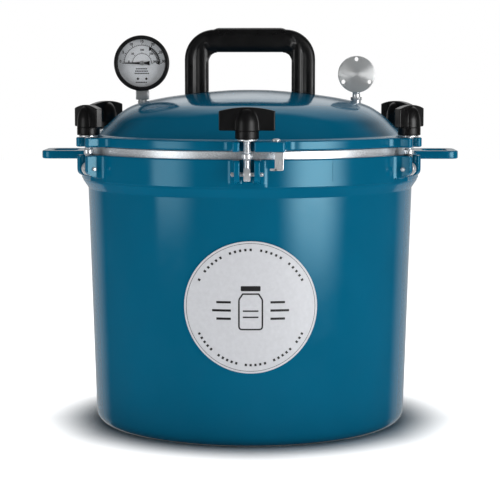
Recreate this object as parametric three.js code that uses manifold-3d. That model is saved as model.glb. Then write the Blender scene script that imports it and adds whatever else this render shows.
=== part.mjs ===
// Pressure canner: a cast aluminium pot whose domed lid seals metal to metal under six swing-away
// clamps. The lid carries a carrying handle, a dial gauge, a vent pipe with its regulator weight, an
// over-pressure plug and a stop bracket. Two loose racks lie inside.
// Millimetres, +Z up. The origin is on the floor, on the pot's axis. The front is -Y, with clamp 1 on it.

import * as THREE from 'three';
import { mergeVertices } from 'three/addons/utils/BufferGeometryUtils.js';
import Module from 'manifold-3d';

const wasm = await Module();
wasm.setup();

// ---- Driving dimensions ------------------------------------------------------------------------

const CLEARANCE = 0.3;          // gap between pieces that touch or run in each other
const ROUND_STEPS = 48;         // facets round the pot and the lid

// Pot
const POT_HEIGHT = 288.5;       // floor to the top of the bare ring, where the lid sits
const LIP_HEIGHT = 5.5;         // sealing lip above the ring, inside the lid
const LIP_TAPER = 2;            // how much the lip narrows over its height
const BODY_RADIUS = 168.4;      // outside of the wall, under the collar
const BODY_DRAFT = 7.1;         // how much narrower the wall is at the floor
const WALL = 6.4;               // wall under the collar
const BASE_THICKNESS = 7;
const BASE_CORNER = 13;         // outside corner radius
const INNER_CORNER = 6;
const INNER_DRAFT = 6.3;        // how much narrower the inside is at the floor
const COLLAR_STEP = 6.6;        // collar's face beyond the wall
const COLLAR_TOP = 7.5;         // below POT_HEIGHT: the bare ring's height
const COLLAR_DEPTH = 26;        // height of the collar's straight side
const COLLAR_TAPER = 12;        // height of the curve from the collar down to the wall
const RING_INSET = 5;           // bare machined ring, in from the collar's face
const SEAT_STEP = 2.3;          // ring's flat top, outside the lip

// Lid
const LID_SEAT_GAP = 0.4;       // the flange's underside above the ring
const FLANGE_OVERHANG = 2;      // flange's edge beyond the ring
const FLANGE_THICKNESS = 9.6;
const DOME_RISE = 45.5;         // flange top to the middle of the dome
const DOME_INSET = 14;          // dome's foot, in from the flange's edge
const DOME_THICKNESS = 6;
const LID_SHELF = 6.5;          // flat over the lip, inside the pot's wall

// Clamps
const CLAMP_COUNT = 6;
const CLAMP_OFFSET = 8.5;       // bolt's axis beyond the collar's face
const LUG_REACH = 8;            // lug face beyond the bolt circle
const LUG_SIDE = 7.2;           // lug beside its slot
const LUG_FILLET = 12;
const LUG_CHAMFER = 2.5;
const SLOT_GAP = 1.95;          // beside the bolt's shoulder, in the lug and between the clevis ears
const STOP_LUG_WIDTH = 36;      // reach of the front lug's long ear to the right
const PIN_DROP = 21;            // pin below POT_HEIGHT
const PIN_RADIUS = 2;
const PIN_END = 3.1;            // pin beyond the ears
const EAR_THICKNESS = 5.6;
const EAR_REACH = 7.5;          // ear beyond the bolt circle
const EAR_DROP = 7.5;           // ear below the pin
const EAR_FILLET = 9;
const EYE_RADIUS = 6.8;
const EYE_WIDTH = 6.8;
const EYE_GAP = 0.5;            // behind the eye, in the bottom of the clevis slot
const NECK_STEP = 0.5;          // neck inside the thread
const SHOULDER_STEP = 0.95;     // shoulder outside the thread
const SHOULDER_DROP = 5.5;      // shoulder's underside below POT_HEIGHT
const SHOULDER_HEIGHT = 5;
const THREAD_RADIUS = 3.9;
const BOLT_END_GAP = 1.4;       // over the bolt's end, in the knob
const WASHER_SLACK = 0.6;       // under the washer, for the bolt to swing
const WASHER_LAP = 2.7;         // washer over the lug, beside the slot
const WASHER_THICKNESS = 1.5;
const KNOB_WALL = 4.4;          // round the insert
const SKIRT_HEIGHT = 7.6;
const KNOB_HEIGHT = 29.8;
const WING_SPAN = 53;
const WING_THICKNESS = 7;
const WING_END_HEIGHT = 18.6;
const WING_ARCH = 0.45;         // where the top's curve leaves the hub, as a share of the half span
const KNOB_CAP = 4.3;           // solid top above the bolt's hole
const INSERT_WALL = 2.4;
const INSERT_LENGTH = 17;

// Side handles, part of the pot's casting
const SIDE_HANDLE_LENGTH = 39.7;    // beyond the collar's face
const SIDE_HANDLE_HALF_DEPTH = 31;
const SIDE_HANDLE_THICKNESS = 8.2;
const SIDE_HANDLE_TOP = 6.3;    // below POT_HEIGHT
const SIDE_HANDLE_BAR = 9.5;
const SIDE_HANDLE_SIDE = 11;
const SIDE_HANDLE_CORNER = 12;
const SIDE_HOLE_CORNER = 6;
const SIDE_HOLE_INSET = 5;      // opening's inner edge beyond the collar's face

// Top handle
const HANDLE_WIDTH = 135;
const HANDLE_OPENING = 86;
const HANDLE_RISE = 64;         // dome's middle to the top of the bar
const HANDLE_BAR = 25;
const HANDLE_DEPTH = 30;
const HANDLE_CORNER = 29;
const HANDLE_INNER_CORNER = 9;
const HANDLE_ROUNDING = 6;
const HANDLE_SCREW_RADIUS = 4;
const HANDLE_SCREW_GRIP = 18;   // length inside the leg
const HANDLE_SCREW_HEAD_RADIUS = 7;
const HANDLE_SCREW_HEAD_HEIGHT = 4;

// Gauge
const GAUGE_X = -112;
const GAUGE_STANDOFF = 1.1;     // wrench block above the dome, at the block's inner edge
const BEZEL_RADIUS = 28.6;
const BEZEL_WIDTH = 4;
const BEZEL_FRONT = -13;        // y of the front
const BEZEL_DEPTH = 6.5;
const BEZEL_LIP = 1.7;
const BEZEL_WALL = 1.1;         // bezel's rim outside the case
const CASE_WALL = 1.5;
const CASE_BACK = 12;           // y of the back
const LENS_THICKNESS = 1.7;
const DIAL_Y = -4.4;
const DIAL_THICKNESS = 0.8;
const POINTER_LENGTH = 20;
const POINTER_TAIL = 8;
const POINTER_THICKNESS = 0.8;
const ARBOR_RADIUS = 1.2;
const PINION_RADIUS = 1.8;
const STUD_RADIUS = 1.2;
const GEAR_RATIO = 6;
const GEAR_THICKNESS = 1.4;
const PLATE_Y = 2.5;
const PLATE_THICKNESS = 1.5;
const BOURDON_RADIUS = 16.5;
const BOURDON_WIDTH = 6;
const BOURDON_THICKNESS = 2.4;
const STEM_BLOCK_WIDTH = 13;
const STEM_BLOCK_DEPTH = 12;
const STEM_BLOCK_HEIGHT = 9.4;
const STEM_RADIUS = 5;
const SOCKET_RADIUS = 3.2;      // through the case's wall, up to the movement
const SOCKET_RISE = 7;          // inside the case's wall
const STEM_DROP = 16;           // thread below the block, through the lid

// Vent pipe and regulator weight
const VENT_X = 110.5;
const PIPE_RADIUS = 4;
const PIPE_BORE = 1.6;
const PIPE_RISE = 20;           // above the dome where it stands
const PIPE_THREAD_STEP = 0.8;   // thread outside the pipe
const PIPE_DROP = 14;
const HEX_STEP = 1;             // hex outside the thread
const HEX_HEIGHT = 3.4;
const WEIGHT_RADIUS = 18.9;
const WEIGHT_THICKNESS = 15;
const WEIGHT_BOTTOM_RISE = 9.5; // weight's rim above the dome where the pipe stands
const WEIGHT_HOLE_RADIUS = 2.3;
const WEIGHT_HOLE_PITCH = 15.6;
const SPARE_SOCKET_RADIUS = 3.4;
const SPARE_SOCKET_DEPTH = 12;

// Over-pressure plug
const PLUG_RADIUS = 5.7;
const PLUG_HEAD_RADIUS = 8;
const PLUG_HEAD_HEIGHT = 4;
const PLUG_DROP = 10;
const PLUG_Y = 88;

// Stop bracket and its screw
const BRACKET_WIDTH = 8.3;        // strip, in from the right edge of the long ear
const BRACKET_THICKNESS = 2;
const BRACKET_DROP = 17.3;
const BRACKET_INSET = 1.5;      // from the long ear's end to the bracket's edge
const BRACKET_FOOT = 4.6;
const BRACKET_SET_BACK = 1;     // strip's front behind the lug's face
const BRACKET_TAB_DEPTH = 12;
const BRACKET_EDGE = 3;         // metal beside the screw
const STOP_SCREW_EDGE = 8.5;    // screw's axis in from that edge
const STOP_SCREW_RADIUS = 2.2;
const STOP_SCREW_HEAD_RADIUS = 4.3;
const STOP_SCREW_HEAD_HEIGHT = 2.6;
const STOP_SCREW_INSET = 7.5;   // screw axis behind the lug's face

// Badge
const BADGE_RADIUS = 64.2;
const BADGE_HEIGHT = 138.5;
const BADGE_TURN = 1.1;          // degrees to the right of the front clamp
const BADGE_THICKNESS = 0.8;

// Racks
const RACK_GAP = 9.2;           // rack inside the wall at the floor
const RACK_THICKNESS = 1.6;
const RACK_RIM = 12;
const RACK_HOLE_RADIUS = 11;
const RACK_HOLE_RINGS = [[0, 1], [0.355, 6], [0.71, 9]];    // circle as a share of the rack, holes

// ---- Sizes that follow from them ---------------------------------------------------------------

const collarRadius = BODY_RADIUS + COLLAR_STEP;
const ringRadius = collarRadius - RING_INSET;
const flangeRadius = ringRadius + FLANGE_OVERHANG;
const domeFoot = flangeRadius - DOME_INSET;
const clampRadius = collarRadius + CLAMP_OFFSET;
const lipTop = POT_HEIGHT + LIP_HEIGHT;
const collarTop = POT_HEIGHT - COLLAR_TOP;
const collarBottom = collarTop - COLLAR_DEPTH;
const taperBottom = collarBottom - COLLAR_TAPER;
const innerTopRadius = BODY_RADIUS - WALL;
const innerBottomRadius = innerTopRadius - INNER_DRAFT;
const rackRadius = innerBottomRadius - RACK_GAP;
const seatRadius = ringRadius - SEAT_STEP;
const flangeBottom = POT_HEIGHT + LID_SEAT_GAP;
const flangeTop = flangeBottom + FLANGE_THICKNESS;
const domeTop = flangeTop + DOME_RISE;
const lugFace = clampRadius + LUG_REACH;
const pinHeight = POT_HEIGHT - PIN_DROP;
const shoulderBottom = POT_HEIGHT - SHOULDER_DROP;
const shoulderTop = shoulderBottom + SHOULDER_HEIGHT;
const washerBottom = flangeTop + WASHER_SLACK;
const knobBottom = washerBottom + WASHER_THICKNESS + CLEARANCE;
const boltTop = knobBottom + KNOB_HEIGHT - KNOB_CAP - BOLT_END_GAP;
const shoulderRadius = THREAD_RADIUS + SHOULDER_STEP;
const slotHalfWidth = shoulderRadius + SLOT_GAP;
const lugHalfWidth = slotHalfWidth + LUG_SIDE;
const earHalfWidth = slotHalfWidth + EAR_THICKNESS;
const pinLength = 2 * (earHalfWidth + PIN_END);
const insertInner = THREAD_RADIUS + CLEARANCE;
const insertOuter = insertInner + INSERT_WALL;
const skirtRadius = insertOuter + CLEARANCE + KNOB_WALL;
const pipeThreadRadius = PIPE_RADIUS + PIPE_THREAD_STEP;
const hexRadius = pipeThreadRadius + HEX_STEP;
const stopScrewX = STOP_LUG_WIDTH - STOP_SCREW_EDGE;
const legCentre = (HANDLE_WIDTH + HANDLE_OPENING) / 4;

// ---- Solids ------------------------------------------------------------------------------------

// Merges shared vertices, drops slivers and turns the faces outwards.
function closedMesh(geometry) {
  const bare = geometry.clone();
  bare.deleteAttribute('normal');
  bare.deleteAttribute('uv');
  const merged = mergeVertices(bare);
  const points = merged.attributes.position.array;
  const corners = merged.index.array;
  const triangles = [];
  let volume = 0;
  for (let i = 0; i < corners.length; i += 3) {
    const [a, b, c] = corners.slice(i, i + 3);
    if (a === b || b === c || c === a) continue;
    triangles.push(a, b, c);
    const first = new THREE.Vector3().fromArray(points, 3 * a);
    const second = new THREE.Vector3().fromArray(points, 3 * b);
    const third = new THREE.Vector3().fromArray(points, 3 * c);
    volume += first.dot(second.cross(third));
  }
  if (volume < 0) triangles.reverse();
  return { vertProperties: new Float32Array(points), triVerts: new Uint32Array(triangles) };
}

function solid(geometry) {
  return new wasm.Manifold(new wasm.Mesh({ numProp: 3, ...closedMesh(geometry) }));
}

function geometryOf(vertices, triangles) {
  const geometry = new THREE.BufferGeometry();
  geometry.setAttribute('position', new THREE.BufferAttribute(new Float32Array(vertices), 3));
  geometry.setIndex(new THREE.BufferAttribute(new Uint32Array(triangles), 1));
  geometry.computeVertexNormals();
  return geometry;
}

// Joins the first list and cuts the second from it.
function combine(joined, cuts = []) {
  let body = solid(joined[0]);
  for (const piece of joined.slice(1)) body = body.add(solid(piece));
  for (const piece of cuts) body = body.subtract(solid(piece));
  const mesh = body.getMesh();
  return geometryOf(mesh.vertProperties, mesh.triVerts);
}

function common(first, second) {
  const mesh = solid(first).intersect(solid(second)).getMesh();
  return geometryOf(mesh.vertProperties, mesh.triVerts);
}

function plain(geometry) {
  const mesh = closedMesh(geometry);
  return geometryOf(mesh.vertProperties, mesh.triVerts);
}

// ---- Shape helpers -----------------------------------------------------------------------------

// Turns a profile of [radius, height] points about the Z axis, with the first facet edge at the front.
function turned(profile, steps = ROUND_STEPS) {
  const points = profile.map(([radius, height]) => new THREE.Vector2(radius, height));
  return new THREE.LatheGeometry(points, steps).rotateX(Math.PI / 2);
}

function ringProfile(inner, outer, bottom, top) {
  return [[inner, bottom], [outer, bottom], [outer, top], [inner, top], [inner, bottom]];
}

function rodProfile(radius, bottom, top) {
  return [[0, bottom], [radius, bottom], [radius, top], [0, top]];
}

function box(left, right, front, back, bottom, top) {
  const geometry = new THREE.BoxGeometry(right - left, back - front, top - bottom);
  return geometry.translate((left + right) / 2, (front + back) / 2, (bottom + top) / 2);
}

function outline(points) {
  return new THREE.Shape(points.map(([across, up]) => new THREE.Vector2(across, up)));
}

// The plane that an outline is drawn in, with the way it is extruded last.
const PLAN = [[1, 0, 0], [0, 1, 0], [0, 0, 1]];       // x and y, extruded upwards
const FRONT = [[1, 0, 0], [0, 0, 1], [0, -1, 0]];     // x and z, extruded forwards
const SIDE = [[0, -1, 0], [0, 0, 1], [-1, 0, 0]];     // distance forwards of the axis and z, along x

// Extrudes an outline over depth, half to each side of the plane unless from says where it starts.
function extruded(shape, plane, depth, options = {}) {
  const { from = -depth / 2, steps = 8, ...bevel } = options;
  const settings = { depth, curveSegments: steps, bevelEnabled: false, ...bevel };
  const basis = plane.map((axis) => new THREE.Vector3(...axis));
  const geometry = new THREE.ExtrudeGeometry(shape, settings);
  return geometry.translate(0, 0, from).applyMatrix4(new THREE.Matrix4().makeBasis(...basis));
}

// A cylinder across the clamp, on the hinge pin's axis at the front.
function pinRod(radius, length, steps = 12) {
  const rod = new THREE.CylinderGeometry(radius, radius, length, steps).rotateZ(Math.PI / 2);
  return rod.translate(0, -clampRadius, pinHeight);
}

function clampAngle(number) {
  return (number * 2 * Math.PI) / CLAMP_COUNT;
}

function atEachClamp(make) {
  return Array.from({ length: CLAMP_COUNT }, (_, number) => make(number).rotateZ(clampAngle(number)));
}

function polar(centre, radius, degrees) {
  const angle = THREE.MathUtils.degToRad(degrees);
  return [centre[0] + radius * Math.cos(angle), centre[1] + radius * Math.sin(angle)];
}

function roundedCorner(centre, radius, fromDegrees, toDegrees, steps) {
  return Array.from({ length: steps + 1 }, (_, i) => {
    const degrees = fromDegrees + ((toDegrees - fromDegrees) * i) / steps;
    return polar(centre, radius, degrees);
  });
}

// Plan of a lug that grows out of a round flange: straight sides, with a hollow fillet at each root.
// Widths are to the left and right of the clamp, and everything is drawn forwards of the axis (-Y).
function lugPlan(rootRadius, face, left, right, fillet) {
  const rootAt = (across) => -Math.sqrt(rootRadius ** 2 - across ** 2);
  const depth = 6;
  const leftRoot = rootAt(left + fillet) + 0.5;
  const rightRoot = rootAt(right + fillet) + 0.5;
  return outline([
    [-left - fillet, leftRoot + depth],
    [-left - fillet, leftRoot],
    ...roundedCorner([-left - fillet, leftRoot - fillet], fillet, 90, 0, 4).slice(1),
    [-left, -face],
    [right, -face],
    ...roundedCorner([right + fillet, rightRoot - fillet], fillet, 180, 90, 4),
    [right + fillet, rightRoot + depth],
  ]);
}

// ---- Pot ---------------------------------------------------------------------------------------

// Outside radius of the pot's wall at a height.
function wallRadius(height) {
  return BODY_RADIUS - BODY_DRAFT * (1 - height / taperBottom);
}

// Curve from the wall out to the collar: [share of its height, share of the collar's step].
const TAPER_CURVE = [[0, 0], [0.35, 0.21], [0.7, 0.545], [1, 1]];

function potShell() {
  const cornerX = wallRadius(BASE_CORNER) - BASE_CORNER;
  const innerX = innerBottomRadius - INNER_CORNER;
  const innerZ = BASE_THICKNESS + INNER_CORNER;
  return turned([
    [0, 0],
    ...roundedCorner([cornerX, BASE_CORNER], BASE_CORNER, -90, 0, 5),
    ...TAPER_CURVE.map(([up, out]) => [BODY_RADIUS + out * COLLAR_STEP, taperBottom + up * COLLAR_TAPER]),
    [collarRadius, collarTop],
    [ringRadius, collarTop],
    [ringRadius, POT_HEIGHT],
    [seatRadius, POT_HEIGHT],
    [seatRadius - LIP_TAPER, lipTop],
    [innerTopRadius, lipTop],
    ...roundedCorner([innerX, innerZ], INNER_CORNER, 0, -90, 3),
    [0, BASE_THICKNESS],
  ]);
}

// Clevis on the collar: two ears for the hinge pin, joined to the collar by hollow fillets.
function clevis() {
  const earEnd = clampRadius + EAR_REACH;
  const plan = lugPlan(collarRadius, earEnd, earHalfWidth, earHalfWidth, EAR_FILLET);
  const root = collarRadius - 9;
  const profile = outline([
    [root, collarTop],
    [earEnd - 3, collarTop],
    [earEnd, collarTop - 3],
    ...roundedCorner([clampRadius, pinHeight], EAR_REACH, 0, -90, 4),
    [root, pinHeight - EAR_DROP - 2],
  ]);
  const height = COLLAR_DEPTH + 10;
  const block = extruded(plan, PLAN, height, { from: collarTop - height });
  return common(block, extruded(profile, SIDE, 2 * (earHalfWidth + EAR_FILLET) + 2));
}

// Slot between the ears, open outwards, upwards and downwards.
function clevisSlot() {
  const back = -(clampRadius - EYE_RADIUS - EYE_GAP);
  const front = -(clampRadius + EAR_REACH + 1);
  return box(-slotHalfWidth, slotHalfWidth, front, back, collarBottom - 5, collarTop + 1);
}

function sideHandle(side) {
  const outer = collarRadius + SIDE_HANDLE_LENGTH;
  const half = SIDE_HANDLE_HALF_DEPTH;
  const root = collarRadius - 8;
  const corner = SIDE_HANDLE_CORNER;
  const shape = outline([
    [root, -half],
    ...roundedCorner([outer - corner, -half + corner], corner, -90, 0, 4),
    ...roundedCorner([outer - corner, half - corner], corner, 0, 90, 4),
    [root, half],
  ]);
  const holeHalf = half - SIDE_HANDLE_SIDE;
  const holeOuter = outer - SIDE_HANDLE_BAR;
  const holeInner = collarRadius + SIDE_HOLE_INSET;
  const holeCorner = SIDE_HOLE_CORNER;
  const hole = [
    ...roundedCorner([holeOuter - holeCorner, holeHalf - holeCorner], holeCorner, 0, 90, 3),
    ...roundedCorner([holeInner + holeCorner, holeHalf - holeCorner], holeCorner, 90, 180, 3),
    ...roundedCorner([holeInner + holeCorner, -holeHalf + holeCorner], holeCorner, 180, 270, 3),
    ...roundedCorner([holeOuter - holeCorner, -holeHalf + holeCorner], holeCorner, 270, 360, 3),
  ];
  shape.holes.push(outline(hole));
  const bottom = POT_HEIGHT - SIDE_HANDLE_TOP - SIDE_HANDLE_THICKNESS;
  const loop = extruded(shape, PLAN, SIDE_HANDLE_THICKNESS, { from: bottom });
  return side > 0 ? loop : loop.rotateZ(Math.PI);
}

function pot() {
  const joined = [potShell(), ...atEachClamp(clevis), sideHandle(1), sideHandle(-1)];
  const pinHole = () => pinRod(PIN_RADIUS + CLEARANCE, pinLength + 10);
  return combine(joined, [...atEachClamp(clevisSlot), ...atEachClamp(pinHole)]);
}

// A thin plate that follows the wall, cut round by a cylinder from the front.
function badge() {
  const reach = BADGE_RADIUS + 6;
  const low = BADGE_HEIGHT - reach;
  const high = BADGE_HEIGHT + reach;
  const inner = CLEARANCE;
  const outer = CLEARANCE + BADGE_THICKNESS;
  const shell = turned([
    [wallRadius(low) + inner, low],
    [wallRadius(low) + outer, low],
    [wallRadius(high) + outer, high],
    [wallRadius(high) + inner, high],
    [wallRadius(low) + inner, low],
  ]);
  const punch = new THREE.CylinderGeometry(BADGE_RADIUS, BADGE_RADIUS, BODY_RADIUS, 48);
  punch.translate(0, -BODY_RADIUS, BADGE_HEIGHT);
  punch.rotateZ(THREE.MathUtils.degToRad(BADGE_TURN));
  return common(shell, punch);
}

function rack(bottom) {
  const top = bottom + RACK_RIM + RACK_THICKNESS;
  const edge = rackRadius - RACK_THICKNESS / 2;
  const plate = outline(roundedCorner([0, 0], edge, 0, 360, ROUND_STEPS).slice(1));
  for (const [circle, count] of RACK_HOLE_RINGS) {
    for (let i = 0; i < count; i += 1) {
      const centre = polar([0, 0], circle * rackRadius, (i * 360) / count);
      plate.holes.push(outline(roundedCorner(centre, RACK_HOLE_RADIUS, 0, 360, 8).slice(1)));
    }
  }
  const rim = turned(ringProfile(rackRadius - RACK_THICKNESS, rackRadius, bottom, top));
  return combine([extruded(plate, PLAN, RACK_THICKNESS, { from: top - RACK_THICKNESS }), rim]);
}

// ---- Lid ---------------------------------------------------------------------------------------

// Outside of the dome from the middle to its foot: [share of the foot's radius, share of the rise].
const DOME_CURVE = [
  [0, 0], [0.139, 0], [0.329, 0.064], [0.513, 0.138], [0.614, 0.207], [0.696, 0.264], [0.759, 0.327],
  [0.816, 0.413], [0.88, 0.585], [0.943, 0.802], [1, 0.993],
];
const domeLine = DOME_CURVE.map(([across, down]) => [across * domeFoot, down * DOME_RISE]);

// Height of the dome's outside at a distance from the axis.
function domeHeight(radius) {
  const next = domeLine.findIndex(([reach]) => reach > radius);
  const [r0, drop0] = domeLine[next - 1];
  const [r1, drop1] = domeLine[next];
  return domeTop - (drop0 + ((drop1 - drop0) * (radius - r0)) / (r1 - r0));
}

function domeProfile(raise) {
  return domeLine.map(([radius, drop]) => [radius, domeTop - drop + raise]);
}

// The dome's inside, a wall's thickness in along the local normal.
function domeInside() {
  return domeLine.slice(0, -1).map(([radius, drop], i) => {
    const [r1, drop1] = domeLine[i + 1];
    const slope = Math.atan2(drop1 - drop, r1 - radius);
    const inwards = radius === 0 ? 0 : DOME_THICKNESS * Math.sin(slope);
    return [radius - inwards, domeTop - drop - DOME_THICKNESS * Math.cos(slope)];
  });
}

function lidShell() {
  const pocketTop = lipTop + 1.5 * CLEARANCE;
  return turned([
    ...domeProfile(0),
    [flangeRadius - 1, flangeTop],
    [flangeRadius, flangeTop - 1],
    [flangeRadius, flangeBottom],
    [seatRadius + CLEARANCE, flangeBottom],
    [seatRadius - LIP_TAPER + 1.5 * CLEARANCE, pocketTop],
    [innerTopRadius - LID_SHELF, pocketTop],
    ...domeInside().slice(2).reverse(),
    [0, domeTop - DOME_THICKNESS],
  ]);
}

// Lug on the flange. The front one has a long right ear, which carries the stop bracket.
function lug(number) {
  const right = number === 0 ? STOP_LUG_WIDTH : lugHalfWidth;
  const plan = lugPlan(flangeRadius, lugFace, lugHalfWidth, right, LUG_FILLET);
  const root = flangeRadius - 30;
  const profile = outline([
    [root, flangeBottom],
    [lugFace, flangeBottom],
    [lugFace, flangeTop - LUG_CHAMFER],
    [lugFace - LUG_CHAMFER, flangeTop],
    [root, flangeTop],
  ]);
  const block = extruded(plan, PLAN, FLANGE_THICKNESS, { from: flangeBottom });
  const core = turned(rodProfile((flangeRadius + seatRadius) / 2, flangeBottom - 1, flangeTop + 1));
  return combine([common(block, extruded(profile, SIDE, 3 * (STOP_LUG_WIDTH + LUG_FILLET)))], [core]);
}

function lugSlot() {
  const shape = outline([
    [slotHalfWidth, -lugFace - 1],
    ...roundedCorner([0, -clampRadius], slotHalfWidth, 0, 180, 8),
    [-slotHalfWidth, -lugFace - 1],
  ]);
  return extruded(shape, PLAN, FLANGE_THICKNESS + 2, { from: flangeBottom - 1 });
}

function lidHole(x, y, radius) {
  return turned(rodProfile(radius, flangeTop, domeTop + 5), 16).translate(x, y, 0);
}

function lid() {
  const stopHole = turned(rodProfile(STOP_SCREW_RADIUS + CLEARANCE, flangeBottom - 1, flangeTop + 1), 12);
  return combine([lidShell(), ...atEachClamp(lug)], [
    ...atEachClamp(lugSlot),
    lidHole(GAUGE_X, 0, STEM_RADIUS + CLEARANCE),
    lidHole(VENT_X, 0, pipeThreadRadius + CLEARANCE),
    lidHole(0, PLUG_Y, PLUG_RADIUS + CLEARANCE),
    lidHole(-legCentre, 0, HANDLE_SCREW_RADIUS + CLEARANCE),
    lidHole(legCentre, 0, HANDLE_SCREW_RADIUS + CLEARANCE),
    stopHole.translate(stopScrewX, -lugFace + STOP_SCREW_INSET, 0),
  ]);
}

// Everything under a surface that lies just above the dome, for cutting what stands on it.
function underDome() {
  const floor = flangeTop - 5;
  return turned([...domeProfile(CLEARANCE), [domeFoot, floor], [0, floor]]);
}

// ---- Top handle --------------------------------------------------------------------------------

function topHandle() {
  const half = HANDLE_WIDTH / 2 - HANDLE_ROUNDING;
  const inner = HANDLE_OPENING / 2 + HANDLE_ROUNDING;
  const top = domeTop + HANDLE_RISE - HANDLE_ROUNDING;
  const under = domeTop + HANDLE_RISE - HANDLE_BAR + HANDLE_ROUNDING;
  const foot = domeTop - 20;
  const corner = HANDLE_CORNER - HANDLE_ROUNDING;
  const innerCorner = HANDLE_INNER_CORNER + HANDLE_ROUNDING;
  const shape = outline([
    [-half, foot],
    [-inner, foot],
    ...roundedCorner([-inner + innerCorner, under - innerCorner], innerCorner, 180, 90, 4),
    ...roundedCorner([inner - innerCorner, under - innerCorner], innerCorner, 90, 0, 4),
    [inner, foot],
    [half, foot],
    ...roundedCorner([half - corner, top - corner], corner, 0, 90, 5),
    ...roundedCorner([-half + corner, top - corner], corner, 90, 180, 5),
  ]);
  const depth = HANDLE_DEPTH - 2 * HANDLE_ROUNDING;
  const rounding = { bevelEnabled: true, bevelThickness: HANDLE_ROUNDING, bevelSize: HANDLE_ROUNDING };
  const grip = extruded(shape, FRONT, depth, { ...rounding, bevelSegments: 2 });
  const blind = domeHeight(legCentre) + HANDLE_SCREW_GRIP + 2;
  const hole = rodProfile(HANDLE_SCREW_RADIUS + CLEARANCE, flangeTop, blind);
  const left = turned(hole, 16).translate(-legCentre, 0, 0);
  const right = turned(hole, 16).translate(legCentre, 0, 0);
  return combine([grip], [underDome(), left, right]);
}

// Screw from inside the lid up into a leg of the handle.
function handleScrew() {
  const seat = domeHeight(legCentre + HANDLE_SCREW_HEAD_RADIUS) - DOME_THICKNESS - 2 * CLEARANCE;
  const top = domeHeight(legCentre) + HANDLE_SCREW_GRIP;
  return plain(turned([
    [0, seat - HANDLE_SCREW_HEAD_HEIGHT],
    [HANDLE_SCREW_HEAD_RADIUS - 1, seat - HANDLE_SCREW_HEAD_HEIGHT],
    [HANDLE_SCREW_HEAD_RADIUS, seat - HANDLE_SCREW_HEAD_HEIGHT + 1],
    [HANDLE_SCREW_HEAD_RADIUS, seat],
    [HANDLE_SCREW_RADIUS, seat],
    [HANDLE_SCREW_RADIUS, top],
    [0, top],
  ], 16));
}

// ---- Clamps, drawn at the front ----------------------------------------------------------------

function hingePin() {
  return plain(pinRod(PIN_RADIUS, pinLength));
}

function bolt() {
  const shank = turned([
    [0, pinHeight],
    [THREAD_RADIUS - NECK_STEP, pinHeight],
    [THREAD_RADIUS - NECK_STEP, shoulderBottom - 1.5],
    [shoulderRadius, shoulderBottom],
    [shoulderRadius, shoulderTop - 1],
    [THREAD_RADIUS, shoulderTop],
    [THREAD_RADIUS, boltTop - 1],
    [THREAD_RADIUS - 1, boltTop],
    [0, boltTop],
  ], 12).translate(0, -clampRadius, 0);
  return combine([shank, pinRod(EYE_RADIUS, EYE_WIDTH, 16)], [pinRod(PIN_RADIUS + CLEARANCE, EYE_WIDTH + 2)]);
}

function washer() {
  const hole = THREAD_RADIUS + CLEARANCE;
  const top = washerBottom + WASHER_THICKNESS;
  const ring = turned(ringProfile(hole, slotHalfWidth + WASHER_LAP, washerBottom, top), 16);
  return plain(ring.translate(0, -clampRadius, 0));
}

function wings() {
  const half = WING_SPAN / 2;
  const low = knobBottom + SKIRT_HEIGHT;
  const top = knobBottom + KNOB_HEIGHT;
  const endTop = low + WING_END_HEIGHT;
  const shape = outline([[-half + 1.5, low], [half - 1.5, low], [half, low + 2], [half, endTop]]);
  shape.quadraticCurveTo(half * WING_ARCH, top, 0, top);
  shape.quadraticCurveTo(-half * WING_ARCH, top, -half, endTop);
  shape.lineTo(-half, low + 2);
  return extruded(shape, FRONT, WING_THICKNESS, { steps: 4 });
}

// Outside of the knob's hub over its skirt: [distance in from the skirt, share of the knob's height].
const HUB_CURVE = [[0.4, 0.3], [0.9, 0.58], [2.4, 0.78], [4.4, 0.89], [7.1, 0.965]];

function knob() {
  const top = knobBottom + KNOB_HEIGHT;
  const bore = insertOuter + CLEARANCE;
  const boreTop = knobBottom + INSERT_LENGTH + 1.5 * CLEARANCE;
  const hub = turned([
    [0, knobBottom],
    [skirtRadius - 0.8, knobBottom],
    [skirtRadius, knobBottom + 0.8],
    [skirtRadius, knobBottom + SKIRT_HEIGHT],
    ...HUB_CURVE.map(([inset, up]) => [skirtRadius - inset, knobBottom + up * KNOB_HEIGHT]),
    [0, top],
  ], 16);
  const insertBore = turned(rodProfile(bore, knobBottom - 1, boreTop), 12);
  const boltBore = turned(rodProfile(THREAD_RADIUS + 2 * CLEARANCE, knobBottom, top - KNOB_CAP), 12);
  return combine([hub, wings()], [insertBore, boltBore]).translate(0, -clampRadius, 0);
}

function knobInsert() {
  const bottom = knobBottom + CLEARANCE;
  const tube = turned(ringProfile(insertInner, insertOuter, bottom, bottom + INSERT_LENGTH), 12);
  return plain(tube.translate(0, -clampRadius, 0));
}

// ---- Gauge, drawn round its own centre and moved to its place ----------------------------------

function aboutY(profile, steps = 32) {
  const points = profile.map(([radius, y]) => new THREE.Vector2(radius, y));
  return new THREE.LatheGeometry(points, steps);
}

const bezelOpening = BEZEL_RADIUS - BEZEL_WIDTH;
const caseRadius = BEZEL_RADIUS - BEZEL_WALL - CLEARANCE;
const lensFront = BEZEL_FRONT + BEZEL_LIP + CLEARANCE;
const caseFront = lensFront + LENS_THICKNESS + CLEARANCE;
const sectorRadius = PINION_RADIUS * GEAR_RATIO;
const sectorDrop = sectorRadius + PINION_RADIUS + CLEARANCE;
const socketTop = -caseRadius + CASE_WALL + SOCKET_RISE;
const stemBlockTop = -BEZEL_RADIUS + CLEARANCE;
const stemBlockBottom = stemBlockTop - STEM_BLOCK_HEIGHT;
const gaugeGround = domeHeight(-GAUGE_X - STEM_BLOCK_WIDTH / 2);
const gaugeCentre = gaugeGround + GAUGE_STANDOFF - stemBlockBottom;

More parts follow.
